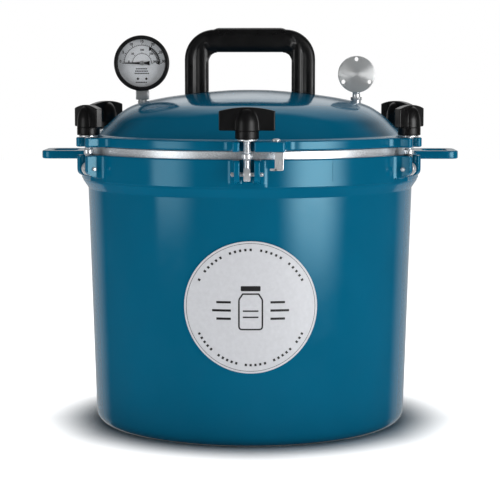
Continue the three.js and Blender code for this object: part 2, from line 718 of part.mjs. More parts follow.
function gaugeBezel() {
  return plain(aboutY([
    [bezelOpening, BEZEL_FRONT],
    [BEZEL_RADIUS - 1.2, BEZEL_FRONT],
    [BEZEL_RADIUS, BEZEL_FRONT + 1.2],
    [BEZEL_RADIUS, BEZEL_FRONT + BEZEL_DEPTH],
    [caseRadius + CLEARANCE, BEZEL_FRONT + BEZEL_DEPTH],
    [caseRadius + CLEARANCE, BEZEL_FRONT + BEZEL_LIP],
    [bezelOpening, BEZEL_FRONT + BEZEL_LIP],
    [bezelOpening, BEZEL_FRONT],
  ]));
}

function gaugeCase() {
  const inner = caseRadius - CASE_WALL;
  const cup = aboutY([
    [0, CASE_BACK],
    [caseRadius - 2, CASE_BACK],
    [caseRadius, CASE_BACK - 2],
    [caseRadius, caseFront],
    [inner, caseFront],
    [inner, CASE_BACK - CASE_WALL],
    [0, CASE_BACK - CASE_WALL],
  ]);
  const stemHole = turned(rodProfile(SOCKET_RADIUS + CLEARANCE, -caseRadius - 5, socketTop), 16);
  return combine([cup], [stemHole]);
}

function gaugeLens() {
  const back = lensFront + LENS_THICKNESS;
  return plain(aboutY([[0, lensFront], [caseRadius, lensFront], [caseRadius, back], [0, back]]));
}

function gaugeDial() {
  const hole = ARBOR_RADIUS + 2 * CLEARANCE;
  const outer = caseRadius - CASE_WALL - CLEARANCE;
  const back = DIAL_Y + DIAL_THICKNESS;
  return plain(aboutY([[hole, DIAL_Y], [outer, DIAL_Y], [outer, back], [hole, back], [hole, DIAL_Y]]));
}

// Pointer, arbor and pinion in one. The pointer rests pointing left, at zero.
function pointer() {
  const front = DIAL_Y - 1 - POINTER_THICKNESS;
  const blade = outline([
    [-POINTER_LENGTH, 0.25],
    [-POINTER_LENGTH, -0.25],
    [0, -1.3],
    [POINTER_TAIL - 4, -1.1],
    [POINTER_TAIL, -2.2],
    [POINTER_TAIL, 2.2],
    [POINTER_TAIL - 4, 1.1],
    [0, 1.3],
  ]);
  const flat = extruded(blade, FRONT, POINTER_THICKNESS).translate(0, front + POINTER_THICKNESS / 2, 0);
  const arborBack = PLATE_Y + PLATE_THICKNESS;
  const cap = aboutY([[0, front - 0.8], [2.6, front - 0.8], [2.6, front + 0.4], [0, front + 0.4]], 16);
  const rod = aboutY([[0, front], [ARBOR_RADIUS, front], [ARBOR_RADIUS, arborBack], [0, arborBack]], 16);
  const pinionFront = -GEAR_THICKNESS;
  const pinion = aboutY([[0, pinionFront], [PINION_RADIUS, pinionFront], [PINION_RADIUS, 0], [0, 0]], 16);
  return combine([flat, cap, rod, pinion]);
}

// Toothed sector that drives the pinion, as plain rolling faces.
function sectorGear() {
  const pivot = [0, -sectorDrop];
  const shape = outline([
    [3, -sectorDrop],
    ...roundedCorner(pivot, sectorRadius, 62, 118, 8),
    [-3, -sectorDrop],
    ...roundedCorner(pivot, 3, 200, 340, 5),
  ]);
  const hole = new THREE.Path().absarc(0, -sectorDrop, STUD_RADIUS + CLEARANCE, 0, 2 * Math.PI, true);
  shape.holes.push(hole);
  const plate = extruded(shape, FRONT, GEAR_THICKNESS, { steps: 6 });
  return plain(plate.translate(0, -GEAR_THICKNESS / 2, 0));
}

// Back plate of the movement, with the stud that the sector turns on and a foot down to the socket.
function gaugeMovement() {
  const half = 8;
  const foot = socketTop + CLEARANCE;
  const shape = outline([[-half, 6], [-half, foot], [half, foot], [half, 6]]);
  shape.holes.push(new THREE.Path().absarc(0, 0, ARBOR_RADIUS + CLEARANCE, 0, 2 * Math.PI, true));
  const plate = extruded(shape, FRONT, PLATE_THICKNESS).translate(0, PLATE_Y + PLATE_THICKNESS / 2, 0);
  const studFront = -GEAR_THICKNESS - 0.6;
  const studEnd = PLATE_Y + PLATE_THICKNESS / 2;
  const stud = aboutY([[0, studFront], [STUD_RADIUS, studFront], [STUD_RADIUS, studEnd], [0, studEnd]], 12);
  const spacerFront = CLEARANCE;
  const spacer = aboutY([[0, spacerFront], [2.4, spacerFront], [2.4, studEnd], [0, studEnd]], 12);
  return combine([plate, stud.translate(0, 0, -sectorDrop), spacer.translate(0, 0, -sectorDrop)]);
}

// Curved flat tube that uncoils under pressure, behind the movement's plate.
function bourdonTube() {
  const outside = roundedCorner([0, 0], BOURDON_RADIUS, -70, 200, 20);
  const inside = roundedCorner([0, 0], BOURDON_RADIUS - BOURDON_THICKNESS, 200, -70, 20);
  const front = PLATE_Y + PLATE_THICKNESS + CLEARANCE;
  const curl = extruded(outline([...outside, ...inside]), FRONT, BOURDON_WIDTH);
  return plain(curl.translate(0, front + BOURDON_WIDTH / 2, 0));
}

// Socket in the case, wrench block under it and the thread down through the lid.
function gaugeStem() {
  const halfWidth = STEM_BLOCK_WIDTH / 2;
  const halfDepth = STEM_BLOCK_DEPTH / 2;
  const thread = turned(rodProfile(STEM_RADIUS, stemBlockBottom - STEM_DROP, stemBlockBottom + 1), 16);
  const block = box(-halfWidth, halfWidth, -halfDepth, halfDepth, stemBlockBottom, stemBlockTop);
  const socket = turned(rodProfile(SOCKET_RADIUS, stemBlockBottom, socketTop), 16);
  return combine([thread, block, socket]);
}

// ---- Vent pipe, weight, plug, stop -------------------------------------------------------------

function ventPipe() {
  const ground = domeHeight(VENT_X - hexRadius) + CLEARANCE;
  const top = domeHeight(VENT_X) + PIPE_RISE;
  const bottom = domeHeight(VENT_X) - PIPE_DROP;
  const pipe = turned([
    [PIPE_BORE, bottom],
    [pipeThreadRadius, bottom],
    [pipeThreadRadius, ground + 0.5],
    [PIPE_RADIUS, ground + 1],
    [PIPE_RADIUS, top - 2],
    [PIPE_RADIUS - 1.5, top],
    [PIPE_BORE, top],
    [PIPE_BORE, bottom],
  ], 16);
  const hex = turned(ringProfile(PIPE_BORE + 0.8, hexRadius, ground, ground + HEX_HEIGHT), 6);
  return combine([pipe, hex]).translate(VENT_X, 0, 0);
}

// Round weight that stands on the pipe, with a socket for each of its three pressures.
function regulatorWeight() {
  const rim = domeHeight(VENT_X) + WEIGHT_BOTTOM_RISE;
  const front = -WEIGHT_THICKNESS / 2;
  const disc = aboutY([
    [0, front],
    [WEIGHT_RADIUS - 0.8, front],
    [WEIGHT_RADIUS, front + 0.8],
    [WEIGHT_RADIUS, -front - 0.8],
    [WEIGHT_RADIUS - 0.8, -front],
    [0, -front],
  ], 36);
  const pipeDepth = PIPE_RISE - WEIGHT_BOTTOM_RISE + CLEARANCE;
  const sockets = [
    [270, PIPE_RADIUS + CLEARANCE, pipeDepth],
    [30, SPARE_SOCKET_RADIUS, SPARE_SOCKET_DEPTH],
    [150, SPARE_SOCKET_RADIUS, SPARE_SOCKET_DEPTH],
  ].map(([angle, radius, depth]) => {
    const hole = turned(rodProfile(radius, WEIGHT_RADIUS - depth, WEIGHT_RADIUS + 2), 16);
    return hole.rotateY(THREE.MathUtils.degToRad(90 - angle));
  });
  const holes = [90, 210, 330].map((angle) => {
    const [x, z] = polar([0, 0], WEIGHT_HOLE_PITCH, angle);
    const reach = WEIGHT_THICKNESS;
    const profile = [[0, -reach], [WEIGHT_HOLE_RADIUS, -reach], [WEIGHT_HOLE_RADIUS, reach], [0, reach]];
    return aboutY(profile, 12).translate(x, 0, z);
  });
  return combine([disc], [...sockets, ...holes]).translate(VENT_X, 0, rim + WEIGHT_RADIUS);
}

function pressurePlug() {
  const seat = domeHeight(PLUG_Y - PLUG_HEAD_RADIUS) + CLEARANCE;
  const top = seat + PLUG_HEAD_HEIGHT;
  return plain(turned([
    [0, seat - PLUG_DROP],
    [PLUG_RADIUS, seat - PLUG_DROP],
    [PLUG_RADIUS, seat],
    [PLUG_HEAD_RADIUS, seat],
    [PLUG_HEAD_RADIUS, seat + 1.5],
    [PLUG_HEAD_RADIUS - 2, top - 0.6],
    [0, top],
  ], 24).translate(0, PLUG_Y, 0));
}

function stopBracket() {
  const top = flangeBottom - CLEARANCE;
  const front = -lugFace + BRACKET_SET_BACK;
  const back = front + BRACKET_THICKNESS;
  const bottom = top - BRACKET_DROP;
  const left = stopScrewX - STOP_SCREW_RADIUS - BRACKET_EDGE;
  const right = STOP_LUG_WIDTH - BRACKET_INSET;
  const tab = box(left, right, front, front + BRACKET_TAB_DEPTH, top - BRACKET_THICKNESS, top);
  const strip = box(right - BRACKET_WIDTH, right, front, back, bottom, top);
  const foot = box(right - BRACKET_WIDTH - BRACKET_FOOT, right, front, back, bottom, bottom + BRACKET_THICKNESS);
  const hole = turned(rodProfile(STOP_SCREW_RADIUS + CLEARANCE, top - 4, top + 1), 12);
  return combine([tab, strip, foot], [hole.translate(stopScrewX, -lugFace + STOP_SCREW_INSET, 0)]);
}

function stopScrew() {
  const seat = flangeTop + CLEARANCE;
  const bottom = flangeBottom - CLEARANCE - BRACKET_THICKNESS - 1;
  return plain(turned([
    [0, bottom],
    [STOP_SCREW_RADIUS, bottom],
    [STOP_SCREW_RADIUS, seat],
    [STOP_SCREW_HEAD_RADIUS, seat],
    [STOP_SCREW_HEAD_RADIUS, seat + 1],
    [STOP_SCREW_HEAD_RADIUS - 1.6, seat + STOP_SCREW_HEAD_HEIGHT - 0.4],
    [0, seat + STOP_SCREW_HEAD_HEIGHT],
  ], 16).translate(stopScrewX, -lugFace + STOP_SCREW_INSET, 0));
}

// ---- Materials and assembly --------------------------------------------------------------------

const FINISHES = {
  enamel: { color: 0x005f7e, roughness: 0.25, metalness: 0.1 },
  phenolic: { color: 0x141414, roughness: 0.35, metalness: 0 },
  steel: { color: 0xc4c4c4, roughness: 0.3, metalness: 1 },
  brass: { color: 0xb08d4a, roughness: 0.35, metalness: 1 },
  aluminium: { color: 0xc9cbcc, roughness: 0.4, metalness: 1 },
  glass: { color: 0xffffff, roughness: 0.05, metalness: 0 },
  dial: { color: 0xd6d8da, roughness: 0.6, metalness: 0 },
  label: { color: 0xcdcfd4, roughness: 0.5, metalness: 0 },
  rubber: { color: 0x1a1a1a, roughness: 0.8, metalness: 0 },
};

function piece(name, geometry, finish) {
  const mesh = new THREE.Mesh(geometry, new THREE.MeshStandardMaterial(FINISHES[finish]));
  mesh.name = name;
  return mesh;
}

function clampParts(number) {
  const clamp = new THREE.Group();
  const label = number + 1;
  clamp.add(
    piece(`hinge_pin_${label}`, hingePin(), 'steel'),
    piece(`clamp_bolt_${label}`, bolt(), 'steel'),
    piece(`clamp_washer_${label}`, washer(), 'steel'),
    piece(`wing_knob_${label}`, knob(), 'phenolic'),
    piece(`knob_insert_${label}`, knobInsert(), 'brass'),
  );
  clamp.rotation.z = clampAngle(number);
  return clamp;
}

function gaugeParts() {
  const gauge = new THREE.Group();
  gauge.add(
    piece('gauge_stem', gaugeStem(), 'steel'),
    piece('gauge_case', gaugeCase(), 'phenolic'),
    piece('gauge_bezel', gaugeBezel(), 'phenolic'),
    piece('gauge_lens', gaugeLens(), 'glass'),
    piece('gauge_dial', gaugeDial(), 'dial'),
    piece('gauge_pointer', pointer(), 'phenolic'),
    piece('gauge_sector', sectorGear(), 'brass'),
    piece('gauge_movement', gaugeMovement(), 'brass'),
    piece('bourdon_tube', bourdonTube(), 'brass'),
  );
  gauge.position.set(GAUGE_X, 0, gaugeCentre);
  return gauge;
}

function screwPair() {
  return [['left', -legCentre], ['right', legCentre]].map(([side, x]) => {
    const screw = piece(`handle_screw_${side}`, handleScrew(), 'steel');
    screw.position.x = x;
    return screw;
  });
}

const lowerRackBottom = BASE_THICKNESS + CLEARANCE;
const upperRackBottom = lowerRackBottom + RACK_RIM + RACK_THICKNESS + CLEARANCE;

const group = new THREE.Group();
group.add(
  piece('pot', pot(), 'enamel'),
  piece('badge', badge(), 'label'),
  piece('lower_rack', rack(lowerRackBottom), 'aluminium'),
  piece('upper_rack', rack(upperRackBottom), 'aluminium'),
  piece('lid', lid(), 'enamel'),
  piece('top_handle', topHandle(), 'phenolic'),
  ...screwPair(),
  gaugeParts(),
  piece('vent_pipe', ventPipe(), 'steel'),
  piece('regulator_weight', regulatorWeight(), 'steel'),
  piece('pressure_plug', pressurePlug(), 'rubber'),
  piece('stop_bracket', stopBracket(), 'steel'),
  piece('stop_screw', stopScrew(), 'steel'),
);
for (let number = 0; number < CLAMP_COUNT; number += 1) group.add(clampParts(number));

export default group;
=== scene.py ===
"""Looks of the pressure canner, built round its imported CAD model: cast and enamelled pot and lid, black
moulded handle and knobs, bright clamps, a dial gauge and a turned regulator weight, in a pale studio.
Shapes are drawn in millimetres and scaled to metres. +Z is up, and the front, with clamp 1, is -Y."""

import math

import bmesh
import bpy
from mathutils import Matrix, Vector
from mathutils.geometry import delaunay_2d_cdt


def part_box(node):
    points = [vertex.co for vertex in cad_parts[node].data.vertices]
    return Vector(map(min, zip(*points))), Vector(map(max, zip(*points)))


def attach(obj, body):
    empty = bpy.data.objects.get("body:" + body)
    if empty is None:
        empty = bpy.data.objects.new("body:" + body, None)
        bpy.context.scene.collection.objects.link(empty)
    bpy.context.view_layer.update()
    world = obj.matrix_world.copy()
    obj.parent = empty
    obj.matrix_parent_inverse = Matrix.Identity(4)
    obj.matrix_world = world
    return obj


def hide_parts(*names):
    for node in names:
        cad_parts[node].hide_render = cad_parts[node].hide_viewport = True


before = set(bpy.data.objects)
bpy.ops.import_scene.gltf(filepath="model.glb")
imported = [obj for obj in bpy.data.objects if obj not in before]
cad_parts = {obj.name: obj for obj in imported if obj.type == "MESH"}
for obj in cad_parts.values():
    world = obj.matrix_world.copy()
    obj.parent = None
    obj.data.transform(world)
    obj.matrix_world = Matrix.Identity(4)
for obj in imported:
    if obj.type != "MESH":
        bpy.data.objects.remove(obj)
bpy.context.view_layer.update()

MM = 0.001
CLAMPS = 6
CLAMP_STEP = 60
TURNED_STEPS = 192


# ---- Heights and sizes read from the CAD nodes, in millimetres ----

def node_box(node):
    low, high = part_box(node)
    return low / MM, high / MM


def node_centre(node):
    low, high = node_box(node)
    return (low + high) / 2


def node_size(node):
    low, high = node_box(node)
    return high - low


POT_HIGH = node_box("pot")[1]
LID_LOW, LID_HIGH = node_box("lid")
LIP_TOP = POT_HIGH.z
RING_TOP = LIP_TOP - 5.5
COLLAR_TOP = RING_TOP - 7.5
COLLAR_BOTTOM = COLLAR_TOP - 26
TAPER_BOTTOM = COLLAR_BOTTOM - 12
COLLAR_RADIUS = 175
RING_RADIUS = 170
WALL_TOP_RADIUS = 168.4
WALL_DRAFT = 7.1
FLANGE_RADIUS = 172
FLANGE_BOTTOM = LID_LOW.z
FLANGE_TOP = FLANGE_BOTTOM + 9.6
DOME_TOP = LID_HIGH.z
CLAMP_RADIUS = 183.5
LUG_FACE = LID_HIGH.y
SLOT = 6.8
PIN_HEIGHT = node_centre("hinge_pin_1").z
EAR_ROUND = 7.5
EAR_FACE = CLAMP_RADIUS + EAR_ROUND
KNOB_LOW, KNOB_HIGH = node_box("wing_knob_1")
GAUGE = node_centre("gauge_bezel")
GAUGE_RADIUS = node_size("gauge_bezel").x / 2
WEIGHT = node_centre("regulator_weight")
WEIGHT_RADIUS = 18.9
HOLE_CIRCLE = 15.6
HANDLE_LOW, HANDLE_HIGH = node_box("top_handle")
BADGE = node_centre("badge")
EAR_HALF_WIDTH = 12.4
LUG_HALF_WIDTH = 14
LONG_EAR = 36
LID_BORE = 150.5
REBATE_RADIUS = 166.3
DOME_LINE = [
    (0, 0), (22, 0.4), (52, 2.9), (81, 6.6), (97, 9.4), (110, 12.2), (120, 15.2),
    (129, 19.6), (139, 26.8), (149, 36.2), (156.5, 43.4),
]


# ---- Mesh helpers ----

def in_scene(name, data):
    made = bpy.data.objects.new(name, data)
    bpy.context.scene.collection.objects.link(made)
    return made


def new_object(name, mesh):
    data = bpy.data.meshes.new(name)
    bmesh.ops.remove_doubles(mesh, verts=mesh.verts, dist=1e-7)
    bmesh.ops.recalc_face_normals(mesh, faces=mesh.faces)
    mesh.to_mesh(data)
    mesh.free()
    return in_scene(name, data)


def remove(thing):
    data = thing.data
    bpy.data.objects.remove(thing)
    if data.users == 0:
        bpy.data.meshes.remove(data)


def apply_modifiers(thing):
    depsgraph = bpy.context.evaluated_depsgraph_get()
    depsgraph.update()
    data = bpy.data.meshes.new_from_object(thing.evaluated_get(depsgraph))
    old = thing.data
    thing.modifiers.clear()
    thing.data = data
    if old.users == 0:
        bpy.data.meshes.remove(old)
    return thing


def triangulated(thing):
    """Splits every face into triangles, so that no cut can leave a face with a hole in it."""
    mesh = bmesh.new()
    mesh.from_mesh(thing.data)
    bmesh.ops.triangulate(mesh, faces=mesh.faces[:])
    mesh.to_mesh(thing.data)
    mesh.free()
    return thing


def boolean(thing, others, operation):
    triangulated(thing)
    for other in others:
        triangulated(other)
        step = thing.modifiers.new("boolean", "BOOLEAN")
        step.operation = operation
        step.solver = "MANIFOLD"
        step.object = other
    apply_modifiers(thing)
    for other in others:
        remove(other)
    return thing


def joined(name, things):
    """One object from several."""
    mesh = bmesh.new()
    for thing in things:
        mesh.from_mesh(thing.data)
        remove(thing)
    data = bpy.data.meshes.new(name)
    mesh.to_mesh(data)
    mesh.free()
    return in_scene(name, data)


def smooth(thing, degrees):
    """Smooth shading, broken where faces meet at more than this angle."""
    data = thing.data
    data.shade_smooth()
    data.set_sharp_from_angle(angle=math.radians(degrees))
    return thing


def softened(thing, voxel, rounds):
    """Melts joined shapes into one skin and rounds its edges, as a moulding or casting."""
    step = thing.modifiers.new("remesh", "REMESH")
    step.mode = "VOXEL"
    step.voxel_size = voxel * MM
    ease = thing.modifiers.new("ease", "SMOOTH")
    ease.factor = 0.5
    ease.iterations = rounds
    apply_modifiers(thing)
    thing.data.shade_smooth()
    return thing


def moved(thing, matrix):
    thing.data.transform(matrix)
    return thing


def shifted(thing, x, y, z):
    return moved(thing, Matrix.Translation(Vector((x, y, z)) * MM))


def turned(thing, degrees, axis):
    return moved(thing, Matrix.Rotation(math.radians(degrees), 4, axis))


def upright(thing):
    """Stands an outline drawn flat up in the front plane: across stays X, and up becomes Z."""
    return turned(thing, 90, "X")


def along_y(thing):
    """Turns a lathe round Z into one round Y, with its height running backwards."""
    return turned(thing, -90, "X")


def copy_of(thing, name):
    return in_scene(name, thing.data.copy())


def at_clamp(thing, number):
    return turned(thing, CLAMP_STEP * number, "Z")


def arc(centre, radius, start, end, steps):
    points = []
    for i in range(steps + 1):
        angle = math.radians(start + (end - start) * i / steps)
        points.append((centre[0] + radius * math.cos(angle), centre[1] + radius * math.sin(angle)))
    return points


def rounded(points, steps=4, closed=False):
    """Turns each corner (across, up, radius) of a line into a curve. Without a radius it stays sharp."""
    line = []
    count = len(points)
    for i, point in enumerate(points):
        radius = point[2] if len(point) > 2 else 0
        ends = not closed and i in (0, count - 1)
        if radius == 0 or ends:
            line.append((point[0], point[1]))
            continue
        here = Vector(point[:2])
        before = Vector(points[i - 1][:2]) - here
        after = Vector(points[(i + 1) % count][:2]) - here
        half = before.angle(after) / 2
        reach = min(radius / math.tan(half), 0.49 * before.length, 0.49 * after.length)
        first = here + before.normalized() * reach
        last = here + after.normalized() * reach
        for k in range(steps + 1):
            t = k / steps
            spot = first * (1 - t) ** 2 + here * 2 * t * (1 - t) + last * t ** 2
            line.append((spot.x, spot.y))
    return line


def box_line(left, low, right, high, corners=0, steps=3):
    """A rectangle from its lower left corner round to the right. corners is one radius, or one for each."""
    if not isinstance(corners, tuple):
        corners = (corners,) * 4
    spots = ((left, low), (right, low), (right, high), (left, high))
    return rounded([(*spot, corner) for spot, corner in zip(spots, corners)], steps, True)


def flowing(points, steps=6):
    """A smooth line through points."""
    line = []
    for i in range(len(points) - 1):
        a = Vector(points[max(i - 1, 0)])
        b = Vector(points[i])
        c = Vector(points[i + 1])
        d = Vector(points[min(i + 2, len(points) - 1)])
        for k in range(steps):
            t = k / steps
            spot = 0.5 * (2 * b + (c - a) * t + (2 * a - 5 * b + 4 * c - d) * t ** 2
                          + (3 * b - a - 3 * c + d) * t ** 3)
            line.append((spot.x, spot.y))
    line.append(tuple(points[-1]))
    return line


def vertices(mesh, points):
    return [mesh.verts.new(Vector(point) * MM) for point in points]


def skin(mesh, low, high):
    """Faces between two loops of vertices with equal counts."""
    for i in range(len(low)):
        j = (i + 1) % len(low)
        mesh.faces.new((low[i], low[j], high[j], high[i]))


def lathe(name, profile, steps=96, closed=False):
    """Turns a line of (radius, height) about Z."""
    mesh = bmesh.new()
    rings = []
    for radius, height in profile:
        if radius < 1e-6:
            rings.append(vertices(mesh, [(0, 0, height)]))
            continue
        angles = [2 * math.pi * i / steps for i in range(steps)]
        rings.append(vertices(mesh, [(radius * math.cos(a), radius * math.sin(a), height) for a in angles]))
    pairs = list(zip(rings, rings[1:]))
    if closed:
        pairs.append((rings[-1], rings[0]))
    for low, high in pairs:
        for i in range(steps):
            j = (i + 1) % steps
            corners = [low[i % len(low)], low[j % len(low)], high[j % len(high)], high[i % len(high)]]
            corners = list(dict.fromkeys(corners))
            if len(corners) > 2:
                mesh.faces.new(corners)
    return new_object(name, mesh)


def close_end(mesh, loop):
    """Fills a flat loop that may have notches with triangles, or with one face where it crosses itself."""
    if len(loop) < 40 or max(v.co.z for v in loop) - min(v.co.z for v in loop) > 1e-7:
        mesh.faces.new(loop)
        return
    count = len(loop)
    edges = [(i, (i + 1) % count) for i in range(count)]
    spots, _, triangles, _, _, _ = delaunay_2d_cdt([v.co.xy for v in loop], edges, [], 1, 1e-9)
    if len(spots) != count:
        mesh.faces.new(loop)
        return
    upward = sum(a.co.x * b.co.y - b.co.x * a.co.y for a, b in zip(loop, loop[1:] + loop[:1])) > 0
    for corners in triangles:
        a, b, c = (loop[i].co for i in corners)
        same_way = ((b - a).cross(c - a).z > 0) == upward
        mesh.faces.new([loop[i] for i in (corners if same_way else reversed(corners))])


def loft(name, levels):
    """A solid through loops of points with equal counts, closed by a face at each end."""
    mesh = bmesh.new()
    loops = [vertices(mesh, level) for level in levels]
    for low, high in zip(loops, loops[1:]):
        skin(mesh, low, high)
    close_end(mesh, list(reversed(loops[0])))
    close_end(mesh, loops[-1])
    return new_object(name, mesh)


def inset(outline, distance):
    """An anticlockwise outline, moved inwards by a small distance."""
    if not distance:
        return outline
    moved_in = []
    count = len(outline)
    for i in range(count):
        before = Vector(outline[i]) - Vector(outline[i - 1])
        after = Vector(outline[(i + 1) % count]) - Vector(outline[i])
        if before.length < 1e-9 or after.length < 1e-9:
            before = after = before if before.length > after.length else after
        first = Vector((-before.y, before.x)).normalized()
        second = Vector((-after.y, after.x)).normalized()
        way = first + second
        if way.length < 1e-6:
            way = first
        way.normalize()
        stretch = 1 / max(way.dot(first), 0.6)
        moved_in.append(tuple(Vector(outline[i]) + way * distance * stretch))
    return moved_in


def edge_levels(bottom, top, radius, steps, strip):
    """(height, inset) of each loop of a slab with rounded edges, and a flat strip inside each rim."""
    levels = [(bottom, radius + strip)]
    for i in range(steps + 1):
        angle = math.radians(90 * i / steps)
        levels.append((bottom + radius * (1 - math.cos(angle)), radius * (1 - math.sin(angle))))
    for i in range(steps + 1):
        angle = math.radians(90 * i / steps)
        levels.append((top - radius * (1 - math.sin(angle)), radius * (1 - math.cos(angle))))
    levels.append((top, radius + strip))
    return levels


def slab(name, outline, bottom, top, radius, steps, strip):
    """An outline given thickness, with rounded edges."""
    levels = []
    for height, inwards in edge_levels(bottom, top, radius, steps, strip):
        levels.append([(x, y, height) for x, y in inset(outline, inwards)])
    return loft(name, levels)


def block(name, low, high):
    corners = box_line(low[0], low[1], high[0], high[1])
    return loft(name, [[(x, y, z) for x, y in corners] for z in (low[2], high[2])])


def rod(name, radius, low, high, steps=24):
    return lathe(name, [(0, low), (radius, low), (radius, high), (0, high)], steps)


# ---- Materials ----

def material(name, colour, roughness, metallic=0.0):
    made = bpy.data.materials.new(name)
    made.use_nodes = True
    shader = made.node_tree.nodes["Principled BSDF"]
    shader.inputs["Base Color"].default_value = (*colour, 1)
    shader.inputs["Roughness"].default_value = roughness
    shader.inputs["Metallic"].default_value = metallic
    return made


def add(made, kind, **settings):
    node = made.node_tree.nodes.new(kind)
    for key, value in settings.items():
        if key.startswith("in_"):
            node.inputs[key[3:].replace("_", " ")].default_value = value
        else:
            setattr(node, key, value)
    return node


def link(made, source, target):
    made.node_tree.links.new(source, target)


def shader_of(made):
    return made.node_tree.nodes["Principled BSDF"]


def feed(made, name, source):
    """Leads a node's output into an input of the material's shader."""
    link(made, source, shader_of(made).inputs[name])


def noise(made, scale, detail, stretch=(1, 1, 1)):
    place = add(made, "ShaderNodeTexCoord")
    fit = add(made, "ShaderNodeMapping")
    fit.inputs["Scale"].default_value = stretch
    link(made, place.outputs["Object"], fit.inputs["Vector"])
    node = add(made, "ShaderNodeTexNoise", in_Scale=scale, in_Detail=detail)
    link(made, fit.outputs["Vector"], node.inputs["Vector"])
    return node.outputs["Fac"]


def spread(made, source, low, high, start=0.3, end=0.7):
    node = add(made, "ShaderNodeMapRange")
    node.inputs["From Min"].default_value = start
    node.inputs["From Max"].default_value = end
    node.inputs["To Min"].default_value = low
    node.inputs["To Max"].default_value = high
    link(made, source, node.inputs["Value"])
    return node.outputs["Result"]


def tint(made, source, first, second):
    ramp = add(made, "ShaderNodeValToRGB")
    for element, place, colour in zip(ramp.color_ramp.elements, (0.3, 0.7), (first, second)):
        element.position = place
        element.color = (*colour, 1)
    link(made, source, ramp.inputs["Fac"])
    return ramp.outputs["Color"]


def shaded(made, colour, size, first, second):
    """Lets the colour run between two shades of itself, in patches."""
    dull, light = (tuple(shade * part for part in colour) for shade in (first, second))
    feed(made, "Base Color", tint(made, noise(made, size, 4), dull, light))


def bumped(made, sources):
    """Bump from several (source, strength, distance in mm) one after another."""
    normal = None
    for source, strength, distance in sources:
        node = add(made, "ShaderNodeBump", in_Strength=strength, in_Distance=distance * MM)
        link(made, source, node.inputs["Height"])
        if normal is not None:
            link(made, normal, node.inputs["Normal"])
        normal = node.outputs["Normal"]
    feed(made, "Normal", normal)


def enamel():
    """Glossy teal coat with a faint orange peel, a little lighter where it lies thin."""
    made = material("teal_enamel", (0.0, 0.1, 0.2), 0.1)
    feed(made, "Base Color", tint(made, noise(made, 14, 3), (0.0, 0.1, 0.188), (0.0005, 0.109, 0.204)))
    feed(made, "Roughness", spread(made, noise(made, 60, 4), 0.09, 0.15))
    shader_of(made).inputs["Specular Tint"].default_value = (0.5, 0.88, 1, 1)
    bumped(made, [(noise(made, 420, 2), 0.05, 0.15), (noise(made, 60, 2), 0.06, 0.5)])
    return made


def brushed(name, colour, roughness, anisotropic, stretch=(1, 1, 1), grain=700, metallic=1.0):
    """Metal with fine tool marks: stretch squeezes the marks' length along an axis."""
    made = material(name, colour, roughness, metallic)
    marks = noise(made, grain, 3, stretch)
    feed(made, "Roughness", spread(made, marks, roughness * 0.75, roughness * 1.3))
    shaded(made, colour, 40, 0.86, 1)
    shader_of(made).inputs["Anisotropic"].default_value = anisotropic
    bumped(made, [(marks, 0.12, 0.05), (noise(made, 90, 2), 0.05, 0.3)])
    return made


def turned_metal(name, colour, roughness, axis, pitch, metallic):
    """Metal turned in a lathe: rings round an axis of the object, with highlights that fan out."""
    made = material(name, colour, roughness, metallic)
    place = add(made, "ShaderNodeTexCoord")
    rings = add(made, "ShaderNodeTexWave", wave_type="RINGS", rings_direction=axis)
    ripples = {"Scale": 1 / (pitch * MM) / 6.3, "Distortion": 0.6, "Detail": 3, "Detail Scale": 6}
    for key, value in ripples.items():
        rings.inputs[key].default_value = value
    link(made, place.outputs["Object"], rings.inputs["Vector"])
    tangent = add(made, "ShaderNodeTangent", direction_type="RADIAL", axis=axis)
    feed(made, "Tangent", tangent.outputs["Tangent"])
    shader_of(made).inputs["Anisotropic"].default_value = 0.85
    shader_of(made).inputs["Anisotropic Rotation"].default_value = 0.25
    marks = rings.outputs["Fac"]
    feed(made, "Roughness", spread(made, marks, roughness * 0.8, roughness * 1.25, 0, 1))
    bumped(made, [(marks, 0.25, 0.03)])
    return made


def phenolic(name, colour, roughness):
    """Black moulded resin: mostly glossy, with a slightly uneven skin and duller patches."""
    made = material(name, colour, roughness)
    shaded(made, colour, 120, 1, 1.5)
    feed(made, "Roughness", spread(made, noise(made, 55, 4), roughness * 0.75, roughness * 1.3))
    shader_of(made).inputs["Specular IOR Level"].default_value = 0.33
    bumped(made, [(noise(made, 900, 2), 0.08, 0.08), (noise(made, 70, 2), 0.1, 0.4)])
    return made


def printed(name, colour, roughness):
    """Printed or painted face, with a fine grain in colour and gloss."""
    made = material(name, colour, roughness)
    shaded(made, colour, 260, 0.93, 1)
    feed(made, "Roughness", spread(made, noise(made, 90, 3), roughness * 0.85, roughness * 1.15))
    bumped(made, [(noise(made, 1500, 2), 0.06, 0.05)])
    return made


def clear_glass():
    made = material("lens_glass", (0.02, 0.02, 0.02), 0.03)
    for key, value in {"Alpha": 0.06, "Coat Weight": 0.6, "Coat Roughness": 0.03}.items():
        shader_of(made).inputs[key].default_value = value
    feed(made, "Roughness", spread(made, noise(made, 80, 3), 0.02, 0.07))
    return made


